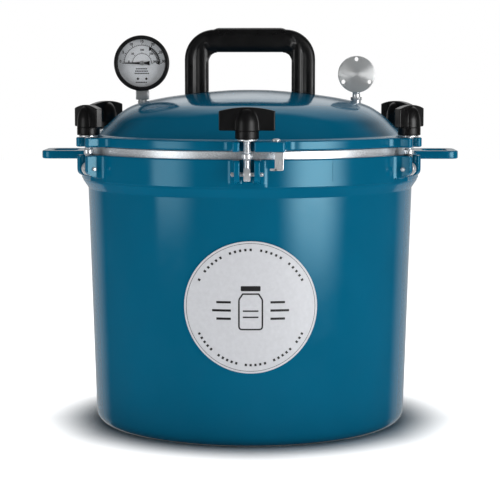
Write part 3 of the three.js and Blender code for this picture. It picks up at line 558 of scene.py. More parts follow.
ENAMEL = enamel()
BARE = brushed("bare_aluminium", (0.80, 0.83, 0.86), 0.26, 0.5, (1, 1, 14), 700, 0.45)
CAST = brushed("cast_inside", (0.66, 0.67, 0.68), 0.42, 0.2, (1, 1, 3), 350, 0.4)
PHENOLIC = phenolic("black_phenolic", (0.0035, 0.0035, 0.0037), 0.33)
GAUGE_BLACK = phenolic("gauge_black", (0.006, 0.006, 0.0065), 0.34)
STEEL = brushed("zinc_steel", (0.86, 0.88, 0.9), 0.2, 0.3, (1, 1, 1), 700, 0.6)
DULL_STEEL = brushed("wrench_block_steel", (0.60, 0.61, 0.62), 0.34, 0.4, (1, 1, 8), 700, 0.8)
SPUN = turned_metal("spun_steel", (0.66, 0.67, 0.67), 0.3, "Y", 0.5, 0.55)
BRASS = brushed("brass", (0.72, 0.50, 0.21), 0.3, 0.3)
RUBBER = phenolic("plug_rubber", (0.02, 0.02, 0.02), 0.7)
DIAL = printed("dial_face", (0.95, 0.97, 1.0), 0.5)
INK = printed("dial_ink", (0.012, 0.012, 0.013), 0.45)
POINTER = phenolic("pointer_black", (0.01, 0.01, 0.01), 0.4)
BADGE_FACE = printed("badge_face", (0.61, 0.62, 0.65), 0.42)
GLASS = clear_glass()


def finish(thing, made, body, slot, *nodes):
    """Gives a piece its material and body, and hides the CAD nodes it stands for. The slot is not used."""
    thing.data.materials.clear()
    thing.data.materials.append(made)
    thing.data.polygons.foreach_set("material_index", [0] * len(thing.data.polygons))
    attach(thing, body)
    if nodes:
        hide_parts(*nodes)
    return thing


# ---- Outline of a round casting with six lugs ----

def lug_line(root, face, left, right, fillet, corner, slot_end):
    """From the left root to the right root of a lug at the front, round its slot."""
    root_left = -math.sqrt(root ** 2 - (left + fillet) ** 2)
    root_right = -math.sqrt(root ** 2 - (right + fillet) ** 2)
    line = arc((-left - fillet, root_left - fillet), fillet, 90, 0, 8)
    line += arc((-left + corner, -face + corner), corner, 180, 270, 4)
    line += arc((-SLOT - corner, -face + corner), corner, 270, 360, 4)
    if slot_end == "round":
        line += arc((0, -CLAMP_RADIUS), SLOT, 180, 0, 14)
    else:
        back = -CLAMP_RADIUS + 7.3
        line += arc((-SLOT + 2, back - 2), 2, 180, 90, 4) + arc((SLOT - 2, back - 2), 2, 90, 0, 4)
    line += arc((SLOT + corner, -face + corner), corner, 180, 270, 4)
    line += arc((right - corner, -face + corner), corner, 270, 360, 4)
    line += arc((right + fillet, root_right - fillet), fillet, 180, 90, 8)
    return line


def turned_point(point, degrees):
    angle = math.radians(degrees)
    x, y = point
    return (x * math.cos(angle) - y * math.sin(angle), x * math.sin(angle) + y * math.cos(angle))


def lugged_outline(radius, lines):
    """Closed outline of a disc whose lugs stand at each clamp, anticlockwise from the front."""
    outline = []
    for number in range(CLAMPS):
        line = [turned_point(point, CLAMP_STEP * number) for point in lines[number]]
        following = turned_point(lines[(number + 1) % CLAMPS][0], CLAMP_STEP * (number + 1))
        outline += line
        start = math.degrees(math.atan2(line[-1][1], line[-1][0]))
        end = math.degrees(math.atan2(following[1], following[0]))
        while end < start:
            end += 360
        outline += arc((0, 0), radius, start, end, 22)[1:-1]
    return [p for p, q in zip(outline, outline[1:] + outline[:1]) if math.dist(p, q) > 0.05]


# ---- Pot ----

def wall_radius(height):
    return WALL_TOP_RADIUS - WALL_DRAFT * (1 - height / TAPER_BOTTOM)


def ear_reach(height):
    """How far the clevis ears stand out at a height: rounded round the pin, and eased off at the top."""
    drop = PIN_HEIGHT - height
    if drop > EAR_ROUND:
        return CLAMP_RADIUS - (drop - EAR_ROUND) * 4
    if drop > 0:
        return CLAMP_RADIUS + math.sqrt(EAR_ROUND ** 2 - drop ** 2)
    ease = max(0.0, height - (COLLAR_TOP - 3))
    return EAR_FACE - (3 - math.sqrt(max(0.0, 9 - ease ** 2)))


def pot_outside():
    """Enamelled outside: a wall with a curve out to the collar, and the collar with its clevises."""
    middle = WALL_TOP_RADIUS - 3
    profile = rounded([
        (0, 0),
        (wall_radius(0), 0, 13),
        (WALL_TOP_RADIUS, TAPER_BOTTOM + 1, 3),
        (COLLAR_RADIUS - 1.2, COLLAR_BOTTOM - 3, 5),
        (COLLAR_RADIUS - 0.4, COLLAR_BOTTOM + 3, 3),
        (COLLAR_RADIUS - 0.4, COLLAR_TOP - 3),
        (middle, COLLAR_TOP - 3),
        (middle - 7, 4),
        (0, 4),
    ], 7)
    wall = lathe("pot_casting", profile, TURNED_STEPS)
    line = lug_line(COLLAR_RADIUS, EAR_FACE, EAR_HALF_WIDTH, EAR_HALF_WIDTH, 9, 1.2, "square")
    outline = lugged_outline(COLLAR_RADIUS, [line] * CLAMPS)
    heights = [COLLAR_BOTTOM - 1, COLLAR_BOTTOM - 0.4, COLLAR_BOTTOM + 0.6]
    heights += [PIN_HEIGHT - drop for drop in (10, 9, 8.2, 7.5, 6.9, 6, 4.8, 3.2, 1.6, 0)]
    heights += [PIN_HEIGHT + 5, COLLAR_TOP - 3, COLLAR_TOP - 2.2, COLLAR_TOP - 1.2]
    ring = []
    for height in heights:
        ring.append((height, 0.6 if height < COLLAR_BOTTOM - 0.7 else 0.0))
    ring += [(COLLAR_TOP - 0.6, 0.2), (COLLAR_TOP - 0.15, 0.6), (COLLAR_TOP, 1.1), (COLLAR_TOP, 2.0)]
    levels = []
    for height, inwards in ring:
        reach = max(ear_reach(height), COLLAR_RADIUS)
        level = []
        for point in inset(outline, inwards):
            level.append((*clamped_to_face(point, reach), height))
        levels.append(level)
    collar = loft("collar", levels)
    hollow = lathe("hollow", [(0, COLLAR_BOTTOM - 6), (middle - 0.5, COLLAR_BOTTOM - 6),
                              (middle - 0.5, COLLAR_TOP + 1), (0, COLLAR_TOP + 1)], TURNED_STEPS)
    boolean(collar, [hollow], "DIFFERENCE")
    handles = [side_handle(1), side_handle(-1)]
    boolean(wall, [collar] + handles, "UNION")
    return smooth(wall, 30)


def clamped_to_face(point, reach):
    """Pulls a point of an ear back to the flat face that stands at a distance from the axis."""
    angle = math.degrees(math.atan2(point[1], point[0])) + 90
    turn = CLAMP_STEP * round(angle / CLAMP_STEP)
    x, y = turned_point(point, -turn)
    if -y > reach:
        y = -max(reach, math.sqrt(max(0.0, COLLAR_RADIUS ** 2 - x ** 2)))
    return turned_point((x, y), turn)


def crossing(outline, centre, angle):
    """Where a ray from a centre leaves an outline."""
    way = Vector((math.cos(angle), math.sin(angle)))
    best = None
    for i in range(len(outline)):
        a = Vector(outline[i - 1]) - centre
        edge = Vector(outline[i]) - centre - a
        bottom = way.x * edge.y - way.y * edge.x
        if abs(bottom) < 1e-12:
            continue
        distance = (a.x * edge.y - a.y * edge.x) / bottom
        share = (a.x * way.y - a.y * way.x) / bottom
        if distance > 0 and -1e-9 <= share <= 1 + 1e-9:
            best = distance if best is None else max(best, distance)
    return tuple(centre + way * best)


def side_handle(side):
    """Flat loop beside the collar, with soft edges and a rounded opening."""
    reach = POT_HIGH.x
    bottom = RING_TOP - 14.5
    top = RING_TOP - 6.3
    outer = box_line(COLLAR_RADIUS - 8, -31, reach, 31, (0, 12, 12, 0), 6)
    hole = box_line(COLLAR_RADIUS + 5, -20, reach - 9.5, 20, 6, 5)
    centre = Vector((COLLAR_RADIUS + 17.6, 0))
    steps = 160
    angles = [2 * math.pi * (i + 0.5) / steps for i in range(steps)]
    mesh = bmesh.new()
    loops = []
    levels = edge_levels(bottom, top, 1.4, 4, 0.3)
    outer_points = [crossing(outer, centre, angle) for angle in angles]
    hole_points = [crossing(hole, centre, angle) for angle in angles]
    shapes = [(height, inset(outer_points, inwards)) for height, inwards in levels]
    shapes += [(height, inset(hole_points, -inwards)) for height, inwards in reversed(levels)]
    for height, shape in shapes:
        loops.append(vertices(mesh, [(x * side, y, height) for x, y in shape]))
    for low, high in zip(loops, loops[1:] + loops[:1]):
        skin(mesh, low, high)
    return new_object("side_handle", mesh)


def pot_inside():
    """Bare inside, sealing lip and machined ring."""
    inner_top = WALL_TOP_RADIUS - 6.4
    inner_bottom = inner_top - 6.3
    seat = RING_RADIUS - 2.3
    middle = WALL_TOP_RADIUS - 3.1
    profile = rounded([
        (0, 4.1),
        (middle - 7.1, 4.1),
        (middle, COLLAR_TOP - 2.9),
        (middle, COLLAR_TOP + 0.05),
        (RING_RADIUS, COLLAR_TOP + 0.05),
        (RING_RADIUS, RING_TOP, 0.8),
        (seat, RING_TOP, 0.5),
        (seat - 2, LIP_TOP, 0.9),
        (inner_top, LIP_TOP, 0.9),
        (inner_bottom, 7, 6),
        (0, 7),
    ], 4)
    return smooth(lathe("pot_inside", profile, TURNED_STEPS), 30)


finish(pot_outside(), ENAMEL, "pot_body", "teal_enamel", "pot")
finish(pot_inside(), BARE, "pot_body", "bare_aluminium")


# ---- Badge: a plain round plate with generic print ----

BADGE_TURN = math.radians(1.1)


def on_wall(across, up, proud):
    height = BADGE.z + up
    radius = wall_radius(height) + proud
    angle = math.asin(across / radius) + BADGE_TURN
    return (radius * math.sin(angle), -radius * math.cos(angle), height)


def finely(outline, step=1.5):
    """The same outline with its long edges cut up, so that they follow the wall."""
    out = []
    for (x, z), (u, w) in zip(outline, outline[1:] + outline[:1]):
        count = max(1, math.ceil(math.hypot(u - x, w - z) / step))
        out += [(x + (u - x) * i / count, z + (w - z) * i / count) for i in range(count)]
    return out


def wall_patch(mesh, outline, low, high):
    """A thin plate of a convex outline, bent round the wall, with a grid fine enough to follow it."""
    outline = finely(outline)
    count = len(outline)
    across, up = (sum(values) / count for values in zip(*outline))
    rims = []
    for proud in (high, low):
        middle = mesh.verts.new(Vector(on_wall(across, up, proud)) * MM)
        rings = []
        for step in range(1, 11):
            share = step / 10
            spots = [on_wall(across + (x - across) * share, up + (z - up) * share, proud) for x, z in outline]
            rings.append(vertices(mesh, spots))
        for i in range(count):
            mesh.faces.new((middle, rings[0][i], rings[0][(i + 1) % count]))
        for inner, outer in zip(rings, rings[1:]):
            skin(mesh, outer, inner)
        rims.append(rings[-1])
    skin(mesh, *rims)


def wall_section(mesh, inner, outer, low, high):
    """Four corners of the section through a thin band on the badge."""
    spots = [(*inner, low), (*outer, low), (*outer, high), (*inner, high)]
    return vertices(mesh, [on_wall(*spot) for spot in spots])


def wall_band(mesh, inner, outer, start, end, low, high, steps):
    """Part of a ring on the badge, bent round the wall."""
    whole = abs(end - start) >= 360
    grid = []
    for i in range(steps if whole else steps + 1):
        angle = math.radians(start + (end - start) * i / steps)
        c, s = math.cos(angle), math.sin(angle)
        grid.append(wall_section(mesh, (inner * c, inner * s), (outer * c, outer * s), low, high))
    for a, b in zip(grid, grid[1:] + grid[:1] if whole else grid[1:]):
        skin(mesh, a, b)
    if not whole:
        mesh.faces.new(grid[0])
        mesh.faces.new(list(reversed(grid[-1])))


def badge():
    radius = node_size("badge").z / 2
    plate = bmesh.new()
    outline = arc((0, 0), radius, 0, 360, 128)[:-1]
    wall_patch(plate, outline, 0.3, 1.0)
    finish(smooth(new_object("badge_plate", plate), 40), BADGE_FACE, "pot_body", "badge_print", "badge")
    ink = bmesh.new()
    low, high = 0.9, 1.06
    wall_band(ink, radius - 2.3, radius - 1.9, 0, 360, low, high, 160)
    for start, end, count in ((28, 152, 25), (208, 332, 27)):
        for i in range(count):
            if i % 6 == 5:
                continue
            angle = start + (end - start) * i / (count - 1)
            wall_band(ink, radius - 9.4, radius - 7.0, angle - 1.1, angle + 1.1, low, high, 2)
    jar = rounded([(-12, -22, 4), (12, -22, 4), (12, 8, 6), (8, 14, 1), (-8, 14, 1), (-12, 8, 6)], 5, True)
    wall_frame(ink, jar, 1.5, low, high)
    wall_patch(ink, box_line(-9.5, 16, 9.5, 21, 1), low, high)
    for up in (-4, -10):
        wall_patch(ink, box_line(-7.5, up, 7.5, up + 1.4), low, high)
    for up, reach in ((4, 22), (-4, 26), (-12, 22)):
        for left, right in ((-11 - reach, -19), (19, 11 + reach)):
            wall_patch(ink, box_line(left, up, right, up + 2.2), low, high)
    finish(smooth(new_object("badge_ink", ink), 40), INK, "pot_body", "badge_print")


def wall_frame(mesh, outline, width, low, high):
    """A line of even width round an outline on the badge."""
    inner = inset(outline, width)
    grid = []
    for a, b, c, d in zip(outline, outline[1:] + outline[:1], inner, inner[1:] + inner[:1]):
        count = max(1, math.ceil(math.dist(a, b) / 1.5))
        for i in range(count):
            inside = Vector(c).lerp(Vector(d), i / count)
            outside = Vector(a).lerp(Vector(b), i / count)
            grid.append(wall_section(mesh, inside, outside, low, high))
    for a, b in zip(grid, grid[1:] + grid[:1]):
        skin(mesh, a, b)


badge()


# ---- Lid ----

def dome_height(radius):
    for (r0, d0), (r1, d1) in zip(DOME_LINE, DOME_LINE[1:]):
        if radius <= r1:
            return DOME_TOP - d0 - (d1 - d0) * (radius - r0) / (r1 - r0)
    return FLANGE_TOP


def dome_line(depth):
    """The dome's line down to its foot, sunk by a depth."""
    return [(radius, DOME_TOP - drop - depth) for radius, drop in DOME_LINE[:-2]]


def lid_outside():
    """Enamelled dome on a flange with six slotted lugs. The front lug has a long right ear."""
    dome = flowing([(radius, DOME_TOP - drop) for radius, drop in DOME_LINE], 6)
    foot = rounded([dome[-1], (158.8, FLANGE_TOP - 0.1, 5), (165, FLANGE_TOP - 0.25)], 6)
    profile = dome + foot[1:] + [(165, FLANGE_BOTTOM + 3), (0, FLANGE_BOTTOM + 3)]
    shell = lathe("lid_casting", profile, TURNED_STEPS)
    lines = []
    for number in range(CLAMPS):
        right = LONG_EAR if number == 0 else LUG_HALF_WIDTH
        lines.append(lug_line(FLANGE_RADIUS, LUG_FACE, LUG_HALF_WIDTH, right, 12, 2.2, "round"))
    outline = lugged_outline(FLANGE_RADIUS, lines)
    flange = slab("flange", outline, FLANGE_BOTTOM, FLANGE_TOP, 1.5, 5, 0.3)
    boolean(shell, [flange], "UNION")
    under = flowing(dome_line(4.4), 4)
    under += [(LID_BORE, FLANGE_BOTTOM + 7), (LID_BORE, FLANGE_BOTTOM - 2), (0, FLANGE_BOTTOM - 2)]
    bottom, seat = FLANGE_BOTTOM - 3, FLANGE_BOTTOM + 5.8
    rebate = [(0, bottom), (REBATE_RADIUS, bottom), (REBATE_RADIUS, seat), (0, seat)]
    boolean(shell, [lathe("under", under, TURNED_STEPS)], "DIFFERENCE")
    boolean(shell, [lathe("rebate", rebate, TURNED_STEPS)], "DIFFERENCE")
    return smooth(shell, 30)


def lid_inside():
    """Bare inside of the dome, and the bare rim over the pot's lip."""
    inner = [(radius - radius / 139, height) for radius, height in dome_line(6.0)]
    seat = FLANGE_BOTTOM + 5.9
    profile = flowing(dome_line(4.5), 4) + [(LID_BORE - 0.1, FLANGE_BOTTOM + 7), (LID_BORE - 0.1, seat)]
    profile += [(LID_BORE - 1.3, seat), (LID_BORE - 1.9, FLANGE_BOTTOM + 9)]
    profile += list(reversed(flowing(inner, 4)))
    return smooth(lathe("lid_inside", profile, TURNED_STEPS), 30)


def index_marks():
    """Raised marks on the lid's flange and the pot's collar, which line up when the lid is on right."""
    turn = -62 + 90
    wedge = [(-3, 0), (3, 0), (0, 5.5)]
    mark = slab("lid_mark", wedge, FLANGE_TOP - 0.5, FLANGE_TOP + 0.45, 0.15, 2, 0.2)
    shifted(mark, 0, 7 - FLANGE_RADIUS, 0)
    face = -COLLAR_RADIUS
    line = block("pot_mark", (-0.6, face - 0.35, COLLAR_TOP - 22), (0.6, face + 2, COLLAR_TOP - 1))
    return turned(mark, turn, "Z"), turned(line, turn, "Z")


finish(lid_outside(), ENAMEL, "lid_body", "teal_enamel", "lid")
finish(lid_inside(), CAST, "lid_body", "bare_aluminium")
lid_mark, pot_mark = index_marks()
finish(lid_mark, ENAMEL, "lid_body", "teal_enamel")
finish(pot_mark, ENAMEL, "pot_body", "teal_enamel")


# ---- Top handle ----

def swept(name, path, width, depth, corner):
    """A rounded bar along a path in the front plane."""
    section = box_line(-width / 2, -depth / 2, width / 2, depth / 2, corner, 4)
    levels = []
    for i, point in enumerate(path):
        before = Vector(path[max(i - 1, 0)])
        after = Vector(path[min(i + 1, len(path) - 1)])
        way = (after - before).normalized()
        side = Vector((way.y, -way.x))
        level = []
        for across, back in section:
            level.append((point[0] + side.x * across, back, point[1] + side.y * across))
        levels.append(level)
    return loft(name, levels)


def top_handle():
    """Legs of two soft ridges each, whose outer ones bend round into the fatter grip bar."""
    half = HANDLE_HIGH.x
    top = HANDLE_HIGH.z
    under = top - 25
    depth = HANDLE_HIGH.y - HANDLE_LOW.y
    foot = HANDLE_LOW.z - 6
    parts = []
    for side in (-1, 1):
        outer = [(side * (half - 6.2), foot), (side * (half - 6.2), top - 32.6)]
        bend = arc((half - 31, top - 32.6), 24.8, 0, 90, 12)
        outer += [(side * x, z) for x, z in bend[1:]] + [(0, top - 7.8)]
        parts.append(swept("ridge", outer, 12.4, depth - 4, 5.4))
        inner = [(side * (half - 18.2), foot), (side * (half - 18.2), top - 14)]
        parts.append(swept("ridge", inner, 12.4, depth - 4, 5.4))
        core = [(side * (half - 12.2), foot), (side * (half - 12.2), top - 22)]
        parts.append(swept("core", core, 12, depth - 8, 4))
    shape = rounded([(-34, top, 9), (-46, top - 6.6, 5), (-51, under + 9, 5), (-44, under, 3),
                     (44, under, 3), (51, under + 9, 5), (46, top - 6.6, 5), (34, top, 9)], 5, True)
    grip = slab("grip", shape, -depth / 2, depth / 2, 8, 6, 1)
    parts.append(upright(grip))
    for side in (-1, 1):
        corner = [(side * 43.2, under + 1), (side * 43.2, under - 9)]
        corner += [(side * x, z) for x, z in arc((34.2, under - 9), 9, 0, 90, 6)[1:]]
        corner = [(x, z) for x, z in corner] + [(side * 34.2, under + 1)]
        if side < 0:
            corner = list(reversed(corner))
        parts.append(upright(slab("inner_corner", corner, -depth / 2 + 3.5, depth / 2 - 3.5, 0.6, 2, 0.2)))
    handle = boolean(parts[0], parts[1:], "UNION")
    softened(handle, 0.75, 7)
    under_dome = lathe("under_dome", flowing([(r, DOME_TOP - d + 0.3) for r, d in DOME_LINE], 6)
                       + [(156.5, FLANGE_TOP - 10), (0, FLANGE_TOP - 10)], 96)
    boolean(handle, [under_dome], "DIFFERENCE")
    handle.name = "top_handle_moulding"
    return smooth(handle, 40)


finish(top_handle(), PHENOLIC, "lid_body", "black_phenolic", "top_handle")


# ---- Clamps ----

def thread_line(radius, low, high, pitch, depth):
    """Profile of a screw thread as a fine zigzag."""
    line = []
    height = low
    while height + pitch <= high:
        line += [(radius - depth, height), (radius, height + pitch * 0.4), (radius, height + pitch * 0.6)]
        height += pitch
    line.append((radius - depth, height))
    return line


def bolt():
    high = node_box("clamp_bolt_1")[1]
    shoulder = RING_TOP - 5.5
    start = shoulder + 5
    profile = rounded([
        (0, PIN_HEIGHT),
        (3.4, PIN_HEIGHT),
        (3.4, shoulder - 2.2, 1.5),
        (4.85, shoulder - 0.6, 1.2),
        (4.85, start - 1.4, 1.5),
        (3.3, start),
    ], 4)
    profile += thread_line(3.9, start, high.z - 1.6, 1.27, 0.6)
    profile += [(2.6, high.z - 0.3), (0, high.z)]
    shank = lathe("shank", profile, 28)
    eye_line = box_line(2.3, -3.4, 6.8, 3.4, (0.4, 0.9, 0.9, 0.4))
    eye = shifted(turned(lathe("eye", eye_line, 40, True), 90, "Y"), 0, 0, PIN_HEIGHT)
    bore = shifted(turned(rod("bore", 2.3, -6, 6), 90, "Y"), 0, 0, PIN_HEIGHT)
    boolean(shank, [bore], "DIFFERENCE")
    return smooth(joined("bolt", [shank, eye]), 34)


def pin():
    half = node_size("hinge_pin_1").x / 2
    profile = rounded([(0, -half), (2.0, -half, 1.1), (2.0, half, 1.1), (0, half)], 4)
    made = turned(lathe("pin", profile, 24), 90, "Y")
    return smooth(shifted(made, 0, 0, PIN_HEIGHT), 40)


def washer():
    low, high = node_box("clamp_washer_1")
    radius = (high.x - low.x) / 2
    profile = box_line(4.2, low.z, radius, high.z, (0.2, 0.4, 0.4, 0.3))
    return smooth(lathe("washer", profile, 48, True), 40)


def wing_knob():
    """Moulded knob: a plain skirt under a line, a hub like a bullet and two upright wings under one arch."""
    low, top = KNOB_LOW.z, KNOB_HIGH.z
    half = KNOB_HIGH.x
    line = low + 7.6
    skirt = lathe("skirt", rounded([
        (4.6, low, 0.2), (11.3, low, 0.8), (11.3, line - 0.1, 0.5), (9.5, line - 0.05), (4.6, line - 0.05),
    ], 4, True), 64, True)
    hub = lathe("hub", [(0, line - 0.2)] + flowing([
        (11.3, line - 0.2), (11.1, line + 5), (10.6, line + 10), (9.1, line + 15), (7.0, line + 18.4),
        (4.2, line + 20.4), (0, line + 21.2),
    ], 5), 64)
    rise = top - (line + 18.6)
    bow = (half ** 2 + rise ** 2) / (2 * rise)
    arch = [(x, top - bow + math.sqrt(bow ** 2 - x ** 2)) for x in [half * (1 - i / 14) for i in range(29)]]
    shape = [(-half + 0.8, line + 0.2), (half - 0.8, line + 0.2), (half, line + 1)]
    shape += arch + [(-half, line + 1)]
    wings = upright(slab("wings", shape, -3.5, 3.5, 0.8, 3, 0.3))
    boolean(hub, [wings], "UNION")
    softened(hub, 0.5, 3)
    bore = rod("bore", 6.9, low - 1, low + 17.5, 32)
    boolean(hub, [bore], "DIFFERENCE")
    return joined("knob", [smooth(skirt, 40), smooth(hub, 45)])


def place_clamps():
    kinds = [
        ("clamp_bolt", bolt(), STEEL, "bolt_{}_body", "zinc_steel"),
        ("hinge_pin", pin(), STEEL, "pot_body", "zinc_steel"),
        ("clamp_washer", washer(), STEEL, "washer_{}_body", "zinc_steel"),
        ("wing_knob", wing_knob(), PHENOLIC, "knob_{}_body", "black_phenolic"),
    ]
    for kind, pattern, made, body, slot in kinds:
        shifted(pattern, 0, -CLAMP_RADIUS, 0)
        for number in range(CLAMPS):
            label = number + 1
            piece = copy_of(pattern, f"{kind}_{label}_shape")
            at_clamp(piece, number)
            finish(piece, made, body.format(label), slot, f"{kind}_{label}")
        remove(pattern)


place_clamps()


# ---- Gauge ----

def at_gauge(thing):
    return shifted(thing, GAUGE.x, 0, GAUGE.z)


def gauge_disc(name, profile, steps, closed=False):
    """A turned part of the gauge, in its place."""
    return at_gauge(smooth(along_y(lathe(name, profile, steps, closed)), 40))


def dial_bar(mesh, angle, inner, outer, width, low, high):
    """A short bar on the dial that points away from its centre."""
    c, s = math.cos(math.radians(angle)), math.sin(math.radians(angle))
    corners = []
    for radius, across in ((inner, -width / 2), (outer, -width / 2), (outer, width / 2), (inner, width / 2)):
        corners.append((radius * c - across * s, radius * s + across * c))
    prism(mesh, corners, low, high)


def prism(mesh, corners, low, high):
    ends = [vertices(mesh, [(x, y, z) for x, z in corners]) for y in (low, high)]
    skin(mesh, *ends)
    for end in ends:
        mesh.faces.new(end)


def dial_arc(mesh, start, end, inner, outer, low, high, steps):
    for i in range(steps):
        a = start + (end - start) * i / steps
        b = start + (end - start) * (i + 1) / steps
        corners = arc((0, 0), inner, a, b, 1) + arc((0, 0), outer, b, a, 1)
        prism(mesh, corners, low, high)


def number(text, size, x, z, front):
    curve = bpy.data.curves.new("number", "FONT")
    curve.body = text
    curve.size = size * MM
    curve.align_x = "CENTER"
    curve.align_y = "CENTER"
    curve.extrude = 0.04 * MM
    curve.offset = 0.14 * MM
    curve.resolution_u = 4
    holder = in_scene("number", curve)
    depsgraph = bpy.context.evaluated_depsgraph_get()
    depsgraph.update()
    data = bpy.data.meshes.new_from_object(holder.evaluated_get(depsgraph))
    bpy.data.objects.remove(holder)
    return shifted(upright(in_scene("number", data)), x, front, z)


def dial_marks():
    """Two scales over the upper half of the dial, a hatched band at the high end and small print."""
    face = node_box("gauge_dial")[0].y
    low, high = face - 0.06, face + 0.05
    ink = bmesh.new()
    scales = (
        (30, 18.2, 18.65, 60, 18.4, (20.6, 0.7), (19.8, 0.35)),
        (20, 9.6, 10.0, 48, 9.8, (11.6, 0.55), (10.9, 0.3)),
    )
    for gaps, inner, outer, steps, root, long_mark, short_mark in scales:
        dial_arc(ink, 180, 0, inner, outer, low, high, steps)
        for i in range(gaps + 1):
            end, width = short_mark if i % 5 else long_mark
            dial_bar(ink, 180 - 180 * i / gaps, root, end, width, low, high)
    dial_arc(ink, 58, 0, 17.6, 18.2, low, high, 20)
    for i in range(12):
        dial_bar(ink, 56.5 - 5 * i, 15.6, 18.0, 1.05, low, high)
    for angle in (60, 0):
        tip = math.radians(angle)
        centre = Vector((math.cos(tip), math.sin(tip)))
        side = Vector((-centre.y, centre.x))
        corners = [centre * 14.2, centre * 18.2 + side * 1.9, centre * 18.2 - side * 1.9]
        prism(ink, [tuple(c) for c in corners], low, high)
    for up, half in ((-6.4, 6.4), (-8.8, 7.2), (-11.2, 7.8), (-20.4, 6.6)):
        for i in range(int(half * 2 / 1.7)):
            x = -half + 1.7 * i
            prism(ink, box_line(x, up, x + 1.35, up + 1.15), low, high)
    for x in (-4.4, 4.4):
        corners = [(x + dx, -16.2 + dz) for dx, dz in ((-1.5, 0), (0, -1.5), (1.5, 0), (0, 1.5))]
        prism(ink, corners, low, high)
    marks = [new_object("marks", ink)]
    for gaps, value, size, radius, lift in ((6, 5, 3.7, 22.4, 1.8), (4, 50, 2.7, 13.6, 1.5)):
        for i in range(gaps + 1):
            angle = math.radians(180 - 180 * i / gaps)
            raised = lift if i in (0, gaps) else 0
            spot = (radius * math.cos(angle), radius * math.sin(angle) + raised)
            marks.append(number(str(value * i), size, *spot, face - 0.03))
    return joined("gauge_dial_marks", marks)


def gauge():
    front = node_box("gauge_bezel")[0].y
    back = node_box("gauge_case")[1].y
    ring = GAUGE_RADIUS
    case = ring - 1.4
    bezel = rounded([
        (ring - 4.2, front + 1.5, 0.4), (ring - 3.4, front + 0.15, 0.7), (ring - 1.0, front, 0.9),
        (ring, front + 1.1, 0.9), (ring, front + 6.5, 0.4), (case + 0.3, front + 6.5),
        (case + 0.3, front + 1.7), (ring - 4.2, front + 1.7),
    ], 4, True)
    rim = gauge_disc("gauge_bezel_ring", bezel, 128, True)
    finish(rim, GAUGE_BLACK, "lid_body", "gauge_black", "gauge_bezel")
    cup = rounded([
        (0, back), (case - 1, back, 3.5), (case, back - 3, 2), (case, front + 4), (case - 1.5, front + 4),
        (case - 1.5, back - 1.5), (0, back - 1.5),
    ], 5)
    shell = along_y(lathe("gauge_case_cup", cup, 96))
    boolean(shell, [rod("stem_hole", 3.5, -case - 4, -case + 5)], "DIFFERENCE")
    finish(at_gauge(smooth(shell, 34)), GAUGE_BLACK, "lid_body", "gauge_black", "gauge_case")
    lens_low, lens_high = node_box("gauge_lens")
    lens = rounded([(0, lens_low.y), (case - 2, lens_low.y, 1), (case, lens_high.y - 0.6, 0.3),
                    (case, lens_high.y), (0, lens_high.y)], 4)
    finish(gauge_disc("gauge_lens_disc", lens, 96), GLASS, "lid_body", "gauge_glass", "gauge_lens")
    dial_low, dial_high = node_box("gauge_dial")
    dial_hole, dial_radius = 1.8, 25.4
    plate = box_line(dial_hole, dial_low.y, dial_radius, dial_high.y, (0, 0.2, 0, 0), 2)
    finish(gauge_disc("gauge_dial_plate", plate, 96, True), DIAL, "lid_body", "gauge_face", "gauge_dial")
    finish(at_gauge(dial_marks()), INK, "lid_body", "gauge_face")
    needle()
    stem()


def needle():
    """Pointer with its arbor, pinion and bright cap."""
    low, high = node_box("gauge_pointer")
    front = low.y + 0.8
    shape = [(-20, 0.35), (-20, -0.35), (-1.8, -1.0), (1.8, -1.0), (4, -1.1), (8, -2.3), (8, 2.3), (4, 1.1),
             (1.8, 1.0), (-1.8, 1.0)]
    blade = bmesh.new()
    prism(blade, shape, front, front + 0.8)
    arbor = along_y(rod("arbor", 1.2, front, high.y))
    pinion = along_y(lathe("pinion", rounded([(0, -1.4), (1.8, -1.4, 0.3), (1.8, 0, 0.3), (0, 0)], 2), 24))
    hand = joined("hand", [new_object("blade", blade), arbor, pinion])
    hand.name = "gauge_pointer_hand"
    finish(at_gauge(smooth(hand, 35)), POINTER, "pointer_body", "gauge_black", "gauge_pointer")
    cap = rounded([(0, low.y), (2.4, low.y, 0.9), (2.4, front + 0.1), (0, front + 0.1)], 4)
    finish(gauge_disc("gauge_pointer_cap", cap, 40), DULL_STEEL, "pointer_body", "gauge_black")


def stem():
    """Wrench block under the case, and the thread that goes down through the lid."""
    high = node_box("gauge_stem")[1]
    top = -GAUGE_RADIUS + 0.6
    bottom = top - 9.7
    nut = slab("nut", box_line(-6.5, -6, 6.5, 6, 0.8), bottom, top, 0.9, 3, 0.3)
    line = thread_line(5.0, bottom - 15.5, bottom - 0.4, 1.4, 0.6)
    profile = [(0, bottom - 16), (4.2, bottom - 16)] + line + [(4.4, bottom + 0.5), (0, bottom + 0.5)]
    thread = lathe("thread", profile, 40)
    socket = rod("socket", 3.2, bottom + 1, high.z - GAUGE.z)
    made = joined("gauge_stem_block", [nut, thread, socket])
    finish(at_gauge(smooth(made, 34)), DULL_STEEL, "lid_body", "zinc_steel", "gauge_stem")


gauge()


# ---- Vent pipe and regulator weight ----

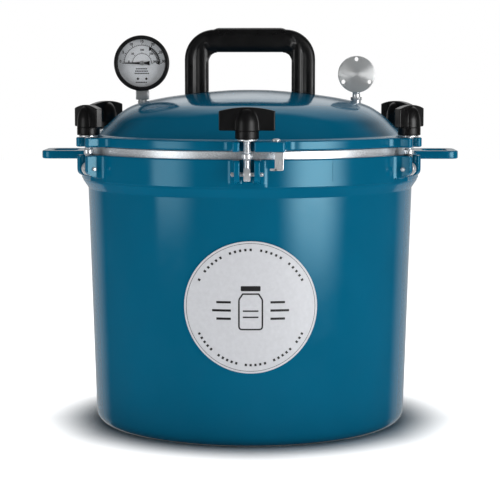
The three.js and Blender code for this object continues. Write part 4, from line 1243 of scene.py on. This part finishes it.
def vent_pipe():
    low, high = node_box("vent_pipe")
    ground = dome_height(WEIGHT.x - 5.8) + 0.3
    pipe = rounded([
        (1.6, low.z), (4.8, low.z, 0.4), (4.8, ground + 0.4), (4.0, ground + 1),
        (4.0, ground + 6.0, 0.5), (3.7, ground + 6.8, 0.5), (4.0, ground + 7.6, 0.5),
        (4.0, high.z - 2, 0.8), (2.5, high.z, 0.5), (1.6, high.z),
    ], 3, True)
    stalk = lathe("pipe", pipe, 40, True)
    hexagon = arc((0, 0), 5.9, 0, 300, 5)
    nut = slab("nut", rounded([(x, y, 0.6) for x, y in hexagon], 2, True), ground, ground + 3.4, 0.5, 2, 0.3)
    boolean(nut, [rod("bore", 2.4, ground - 1, ground + 5)], "DIFFERENCE")
    made = joined("vent_pipe_shape", [stalk, nut])
    finish(smooth(shifted(made, WEIGHT.x, 0, 0), 34), STEEL, "lid_body", "zinc_steel", "vent_pipe")


def regulator_weight():
    """Turned disc with three through-holes, a socket for each pressure and a plain spun face."""
    half = node_size("regulator_weight").y / 2
    profile = rounded([
        (0, -half), (0.7, -half + 0.05, 0.3), (WEIGHT_RADIUS, -half, 0.9),
        (WEIGHT_RADIUS, half, 0.9), (0, half),
    ], 4)
    disc = along_y(lathe("regulator_weight_disc", profile, 128))
    cuts = []
    for angle in (90, 210, 330):
        hole = along_y(rod("hole", 2.3, -half - 2, half + 2, 32))
        x, z = turned_point((HOLE_CIRCLE, 0), angle)
        cuts.append(shifted(hole, x, 0, z))
    for angle, radius, depth in ((270, 4.3, 10.8), (30, 3.4, 12), (150, 3.4, 12)):
        socket = rod("socket", radius, WEIGHT_RADIUS - depth, WEIGHT_RADIUS + 3, 32)
        cuts.append(turned(socket, 90 - angle, "Y"))
    boolean(disc, cuts, "DIFFERENCE")
    smooth(disc, 34)
    disc.location = Vector((WEIGHT.x, 0, WEIGHT.z)) * MM
    finish(disc, SPUN, "weight_body", "spun_steel", "regulator_weight")


def pressure_plug():
    low, high = node_box("pressure_plug")
    centre = node_centre("pressure_plug")
    head = (high.x - low.x) / 2
    seat = high.z - 4
    profile = rounded([
        (0, low.z), (5.7, low.z, 1), (5.7, seat), (head, seat, 0.5), (head, seat + 1.6, 0.8),
        (head - 2, high.z - 0.5, 1.5), (3.4, high.z, 0.3), (2.8, high.z - 0.5, 0.3), (0, high.z - 0.5),
    ], 4)
    made = lathe("pressure_plug_rubber", profile, 64)
    finish(smooth(shifted(made, 0, centre.y, 0), 34), RUBBER, "plug_body", "rubber", "pressure_plug")


vent_pipe()
regulator_weight()
pressure_plug()


# ---- Stop bracket and its screw ----

SHEET = 2


def stop_bracket():
    low, high = node_box("stop_bracket")
    front, back = low.y, low.y + SHEET
    strip_left = high.x - 8.3
    shape = box_line(strip_left, low.z, high.x, high.z, (0.3, 1.6, 0.6, 0.6))
    strip = upright(slab("strip", shape, -back, -front, 0.35, 2, 0.2))
    shape = box_line(low.x, low.z, strip_left + 2, low.z + 2.2, (0.6, 0.3, 0.3, 0.6))
    foot = upright(slab("foot", shape, -back, -front, 0.35, 2, 0.2))
    shape = rounded([
        (strip_left, front + 0.4, 0.4), (high.x, front + 0.4, 0.4), (high.x, high.y, 2),
        (low.x, high.y, 2), (low.x, front + 8, 2), (strip_left, front + 4, 2),
    ], 3, True)
    tab = slab("tab", shape, high.z - SHEET, high.z, 0.3, 2, 0.2)
    screw = node_centre("stop_screw")
    boolean(tab, [shifted(rod("bore", 2.5, high.z - 4, high.z + 2), screw.x, screw.y, 0)], "DIFFERENCE")
    made = joined("stop_bracket_plate", [strip, foot, tab])
    finish(smooth(made, 40), STEEL, "lid_body", "zinc_steel", "stop_bracket")


def stop_screw():
    low, high = node_box("stop_screw")
    centre = node_centre("stop_screw")
    seat = FLANGE_TOP + 0.3
    line = thread_line(2.2, low.z + 0.4, seat - 1, 0.8, 0.3)
    profile = [(0, low.z), (1.8, low.z)] + line + [(2.2, seat - 0.6)]
    profile += rounded([(2.2, seat), (4.3, seat, 0.4), (4.3, seat + 1.1, 0.8), (2.7, high.z - 0.3, 1.5),
                        (0, high.z)], 4)
    made = lathe("stop_screw_shape", profile, 40)
    slot = block("slot", (-6, -0.45, high.z - 0.9), (6, 0.45, high.z + 1))
    boolean(made, [slot], "DIFFERENCE")
    finish(smooth(shifted(made, centre.x, centre.y, 0), 34), STEEL, "lid_body", "zinc_steel", "stop_screw")


stop_bracket()
stop_screw()


# ---- CAD nodes that stay, with better materials ----

KEPT = {
    "lower_rack": BARE,
    "upper_rack": BARE,
    "handle_screw_left": STEEL,
    "handle_screw_right": STEEL,
    "gauge_sector": BRASS,
    "gauge_movement": BRASS,
    "bourdon_tube": BRASS,
}
for label in range(1, CLAMPS + 1):
    KEPT[f"knob_insert_{label}"] = BRASS
for node, made in KEPT.items():
    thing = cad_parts[node]
    thing.data.materials.clear()
    thing.data.materials.append(made)


# ---- Studio ----

# Radii in metres between which the floor's painted shadow round the object fades out.
PAINTED_SHADOW_START = 0.152
PAINTED_SHADOW_END = 0.232


def glowing(name, strength, edges=None):
    """Glow that fades out over a share of a panel's width and height: left, right, bottom, top."""
    made = bpy.data.materials.new(name)
    made.use_nodes = True
    tree = made.node_tree
    tree.nodes.remove(tree.nodes["Principled BSDF"])
    glow = add(made, "ShaderNodeEmission")
    glow.inputs["Color"].default_value = (1, 1, 1, 1)
    glow.inputs["Strength"].default_value = strength
    link(made, glow.outputs["Emission"], tree.nodes["Material Output"].inputs["Surface"])
    made.cycles.emission_sampling = "NONE"
    if edges is None:
        return made
    place = add(made, "ShaderNodeTexCoord")
    split = add(made, "ShaderNodeSeparateXYZ")
    link(made, place.outputs["UV"], split.inputs["Vector"])
    total = None
    left, right, bottom, top = edges
    for axis, start, end in (("X", 0, left), ("X", 1, 1 - right), ("Y", 0, bottom), ("Y", 1, 1 - top)):
        fade = add(made, "ShaderNodeMapRange", interpolation_type="SMOOTHSTEP")
        fade.inputs["From Min"].default_value = start
        fade.inputs["From Max"].default_value = end
        link(made, split.outputs[axis], fade.inputs["Value"])
        if total is None:
            total = fade.outputs["Result"]
            continue
        product = add(made, "ShaderNodeMath", operation="MULTIPLY")
        link(made, total, product.inputs[0])
        link(made, fade.outputs["Result"], product.inputs[1])
        total = product.outputs["Value"]
    strong = add(made, "ShaderNodeMath", operation="MULTIPLY")
    strong.inputs[1].default_value = strength
    link(made, total, strong.inputs[0])
    link(made, strong.outputs["Value"], glow.inputs["Strength"])
    return made


def reflected_panel(name, corners, strength, edges):
    """A panel that shows only as a reflection. Corners go round from the lower left, seen from the object."""
    mesh = bmesh.new()
    layer = mesh.loops.layers.uv.new("panel")
    face = mesh.faces.new([mesh.verts.new(corner) for corner in corners])
    for loop, place in zip(face.loops, ((0, 0), (1, 0), (1, 1), (0, 1))):
        loop[layer].uv = place
    data = bpy.data.meshes.new(name)
    mesh.to_mesh(data)
    mesh.free()
    panel = in_scene(name, data)
    panel.data.materials.append(glowing(name, strength, edges))
    panel.visible_camera = False
    panel.visible_diffuse = False
    panel.visible_shadow = False
    panel.visible_transmission = False


def standing_panel(name, azimuth, half_width, bottom, top, strength, edges):
    """Upright panel that faces the object. Azimuth counts from the front, to the right."""
    distance = 1.8
    angle = math.radians(azimuth)
    centre = Vector((math.sin(angle), -math.cos(angle), 0)) * distance
    side = Vector((math.cos(angle), math.sin(angle), 0)) * half_width
    corners = []
    for across, height in ((-1, bottom), (1, bottom), (1, top), (-1, top)):
        spot = centre + side * across
        corners.append((spot.x, spot.y, height))
    reflected_panel(name, corners, strength, edges)


def studio_floor():
    """White floor that glows more the further it lies from the object, so that a painted shadow lies round
    its foot, and a white backdrop all round.
    """
    white = material("studio_white", (0.9, 0.9, 0.9), 0.7)
    shade = tint(white, noise(white, 3, 2), (0.89, 0.89, 0.89), (0.91, 0.91, 0.91))
    feed(white, "Base Color", shade)
    place = add(white, "ShaderNodeTexCoord")
    reach = add(white, "ShaderNodeVectorMath", operation="LENGTH")
    link(white, place.outputs["Object"], reach.inputs[0])
    # Painted shadow: the floor's glow fades to nothing near the object's axis.
    glow = add(white, "ShaderNodeMapRange", interpolation_type="SMOOTHSTEP")
    glow.inputs["From Min"].default_value = PAINTED_SHADOW_START
    glow.inputs["From Max"].default_value = PAINTED_SHADOW_END
    link(white, reach.outputs["Value"], glow.inputs["Value"])
    feed(white, "Emission Strength", glow.outputs["Result"])
    shader_of(white).inputs["Emission Color"].default_value = (1, 1, 1, 1)
    white.cycles.emission_sampling = "NONE"
    floor = lathe("studio_floor", [(0, 0), (5000, 0), (5000, -10), (0, -10)], 64)
    floor.data.materials.append(white)
    floor.visible_glossy = False
    backdrop = lathe("studio_backdrop", [(0, 6000), (3000, 5600), (4900, 3000), (4950, -5)], 64)
    backdrop.data.shade_smooth()
    backdrop.data.materials.append(glowing("backdrop_white", 1.0))
    backdrop.visible_diffuse = False
    backdrop.visible_glossy = False
    backdrop.visible_shadow = False
    return floor


def softbox(name, place, aim, size, power, floor, lights_floor=False):
    """Soft light that lights either the object alone or the floor alone, and never shows in reflections."""
    light = bpy.data.lights.new(name, "AREA")
    light.shape = "RECTANGLE"
    light.size, light.size_y = size
    light.energy = power
    holder = in_scene(name, light)
    holder.location = place
    holder.rotation_mode = "QUATERNION"
    holder.rotation_quaternion = (Vector(aim) - Vector(place)).to_track_quat("-Z", "Y")
    holder.visible_glossy = False
    lit = bpy.data.collections.new(name + "_floor")
    lit.objects.link(floor)
    holder.light_linking.receiver_collection = lit
    lit.collection_objects[0].light_linking.link_state = "INCLUDE" if lights_floor else "EXCLUDE"


def studio():
    floor = studio_floor()
    world = bpy.data.worlds.new("studio")
    world.use_nodes = True
    sky = world.node_tree.nodes["Background"]
    sky.inputs["Color"].default_value = (1, 1, 1, 1)
    sky.inputs["Strength"].default_value = 0.05
    bpy.context.scene.world = world
    softbox("left_box", (-1.7, -1.3, 0.5), (0, 0, 0.1), (1.2, 1.6), 13, floor)
    softbox("right_box", (1.8, -1.2, 0.5), (0, 0, 0.1), (1.2, 1.6), 27, floor)
    softbox("top_box", (0, -0.2, 2.2), (0, 0, 0), (2.6, 2.0), 22, floor)
    softbox("floor_light", (0, 0.08, 2.2), (0, 0.08, 0), (0.55, 0.45), 18, floor, True)
    standing_panel("left_reflection", -50, 0.56, -0.16, 0.75, 3.0, (0.2, 0.5, 0.2, 0.3))
    standing_panel("right_reflection", 44, 0.88, -0.31, 0.9, 8.0, (0.4, 0.45, 0.27, 0.3))
    back = [(4.2, 2.6, -1.6), (-4.2, 2.6, -1.6), (-4.2, 2.6, 1.1), (4.2, 2.6, 1.1)]
    reflected_panel("back_reflection", back, 0.5, (0.25, 0.25, 0.05, 0.2))
    high = [(2.0, 2.4, 0.62), (-1.5, 2.4, 0.62), (-1.5, 1.0, 3.4), (2.0, 1.0, 3.4)]
    reflected_panel("high_reflection", high, 1.15, (0.4, 0.35, 0.15, 0.22))
    bpy.context.scene.view_settings.view_transform = "Standard"


def camera():
    lens = bpy.data.cameras.new("camera")
    lens.lens = 126.1
    lens.sensor_width = 36
    lens.clip_end = 50
    holder = in_scene("camera", lens)
    holder.location = (0.0287, -1.8298, 0.372)
    holder.rotation_euler = (math.radians(83.9), 0, math.radians(0.9))
    bpy.context.scene.camera = holder


studio()
camera()
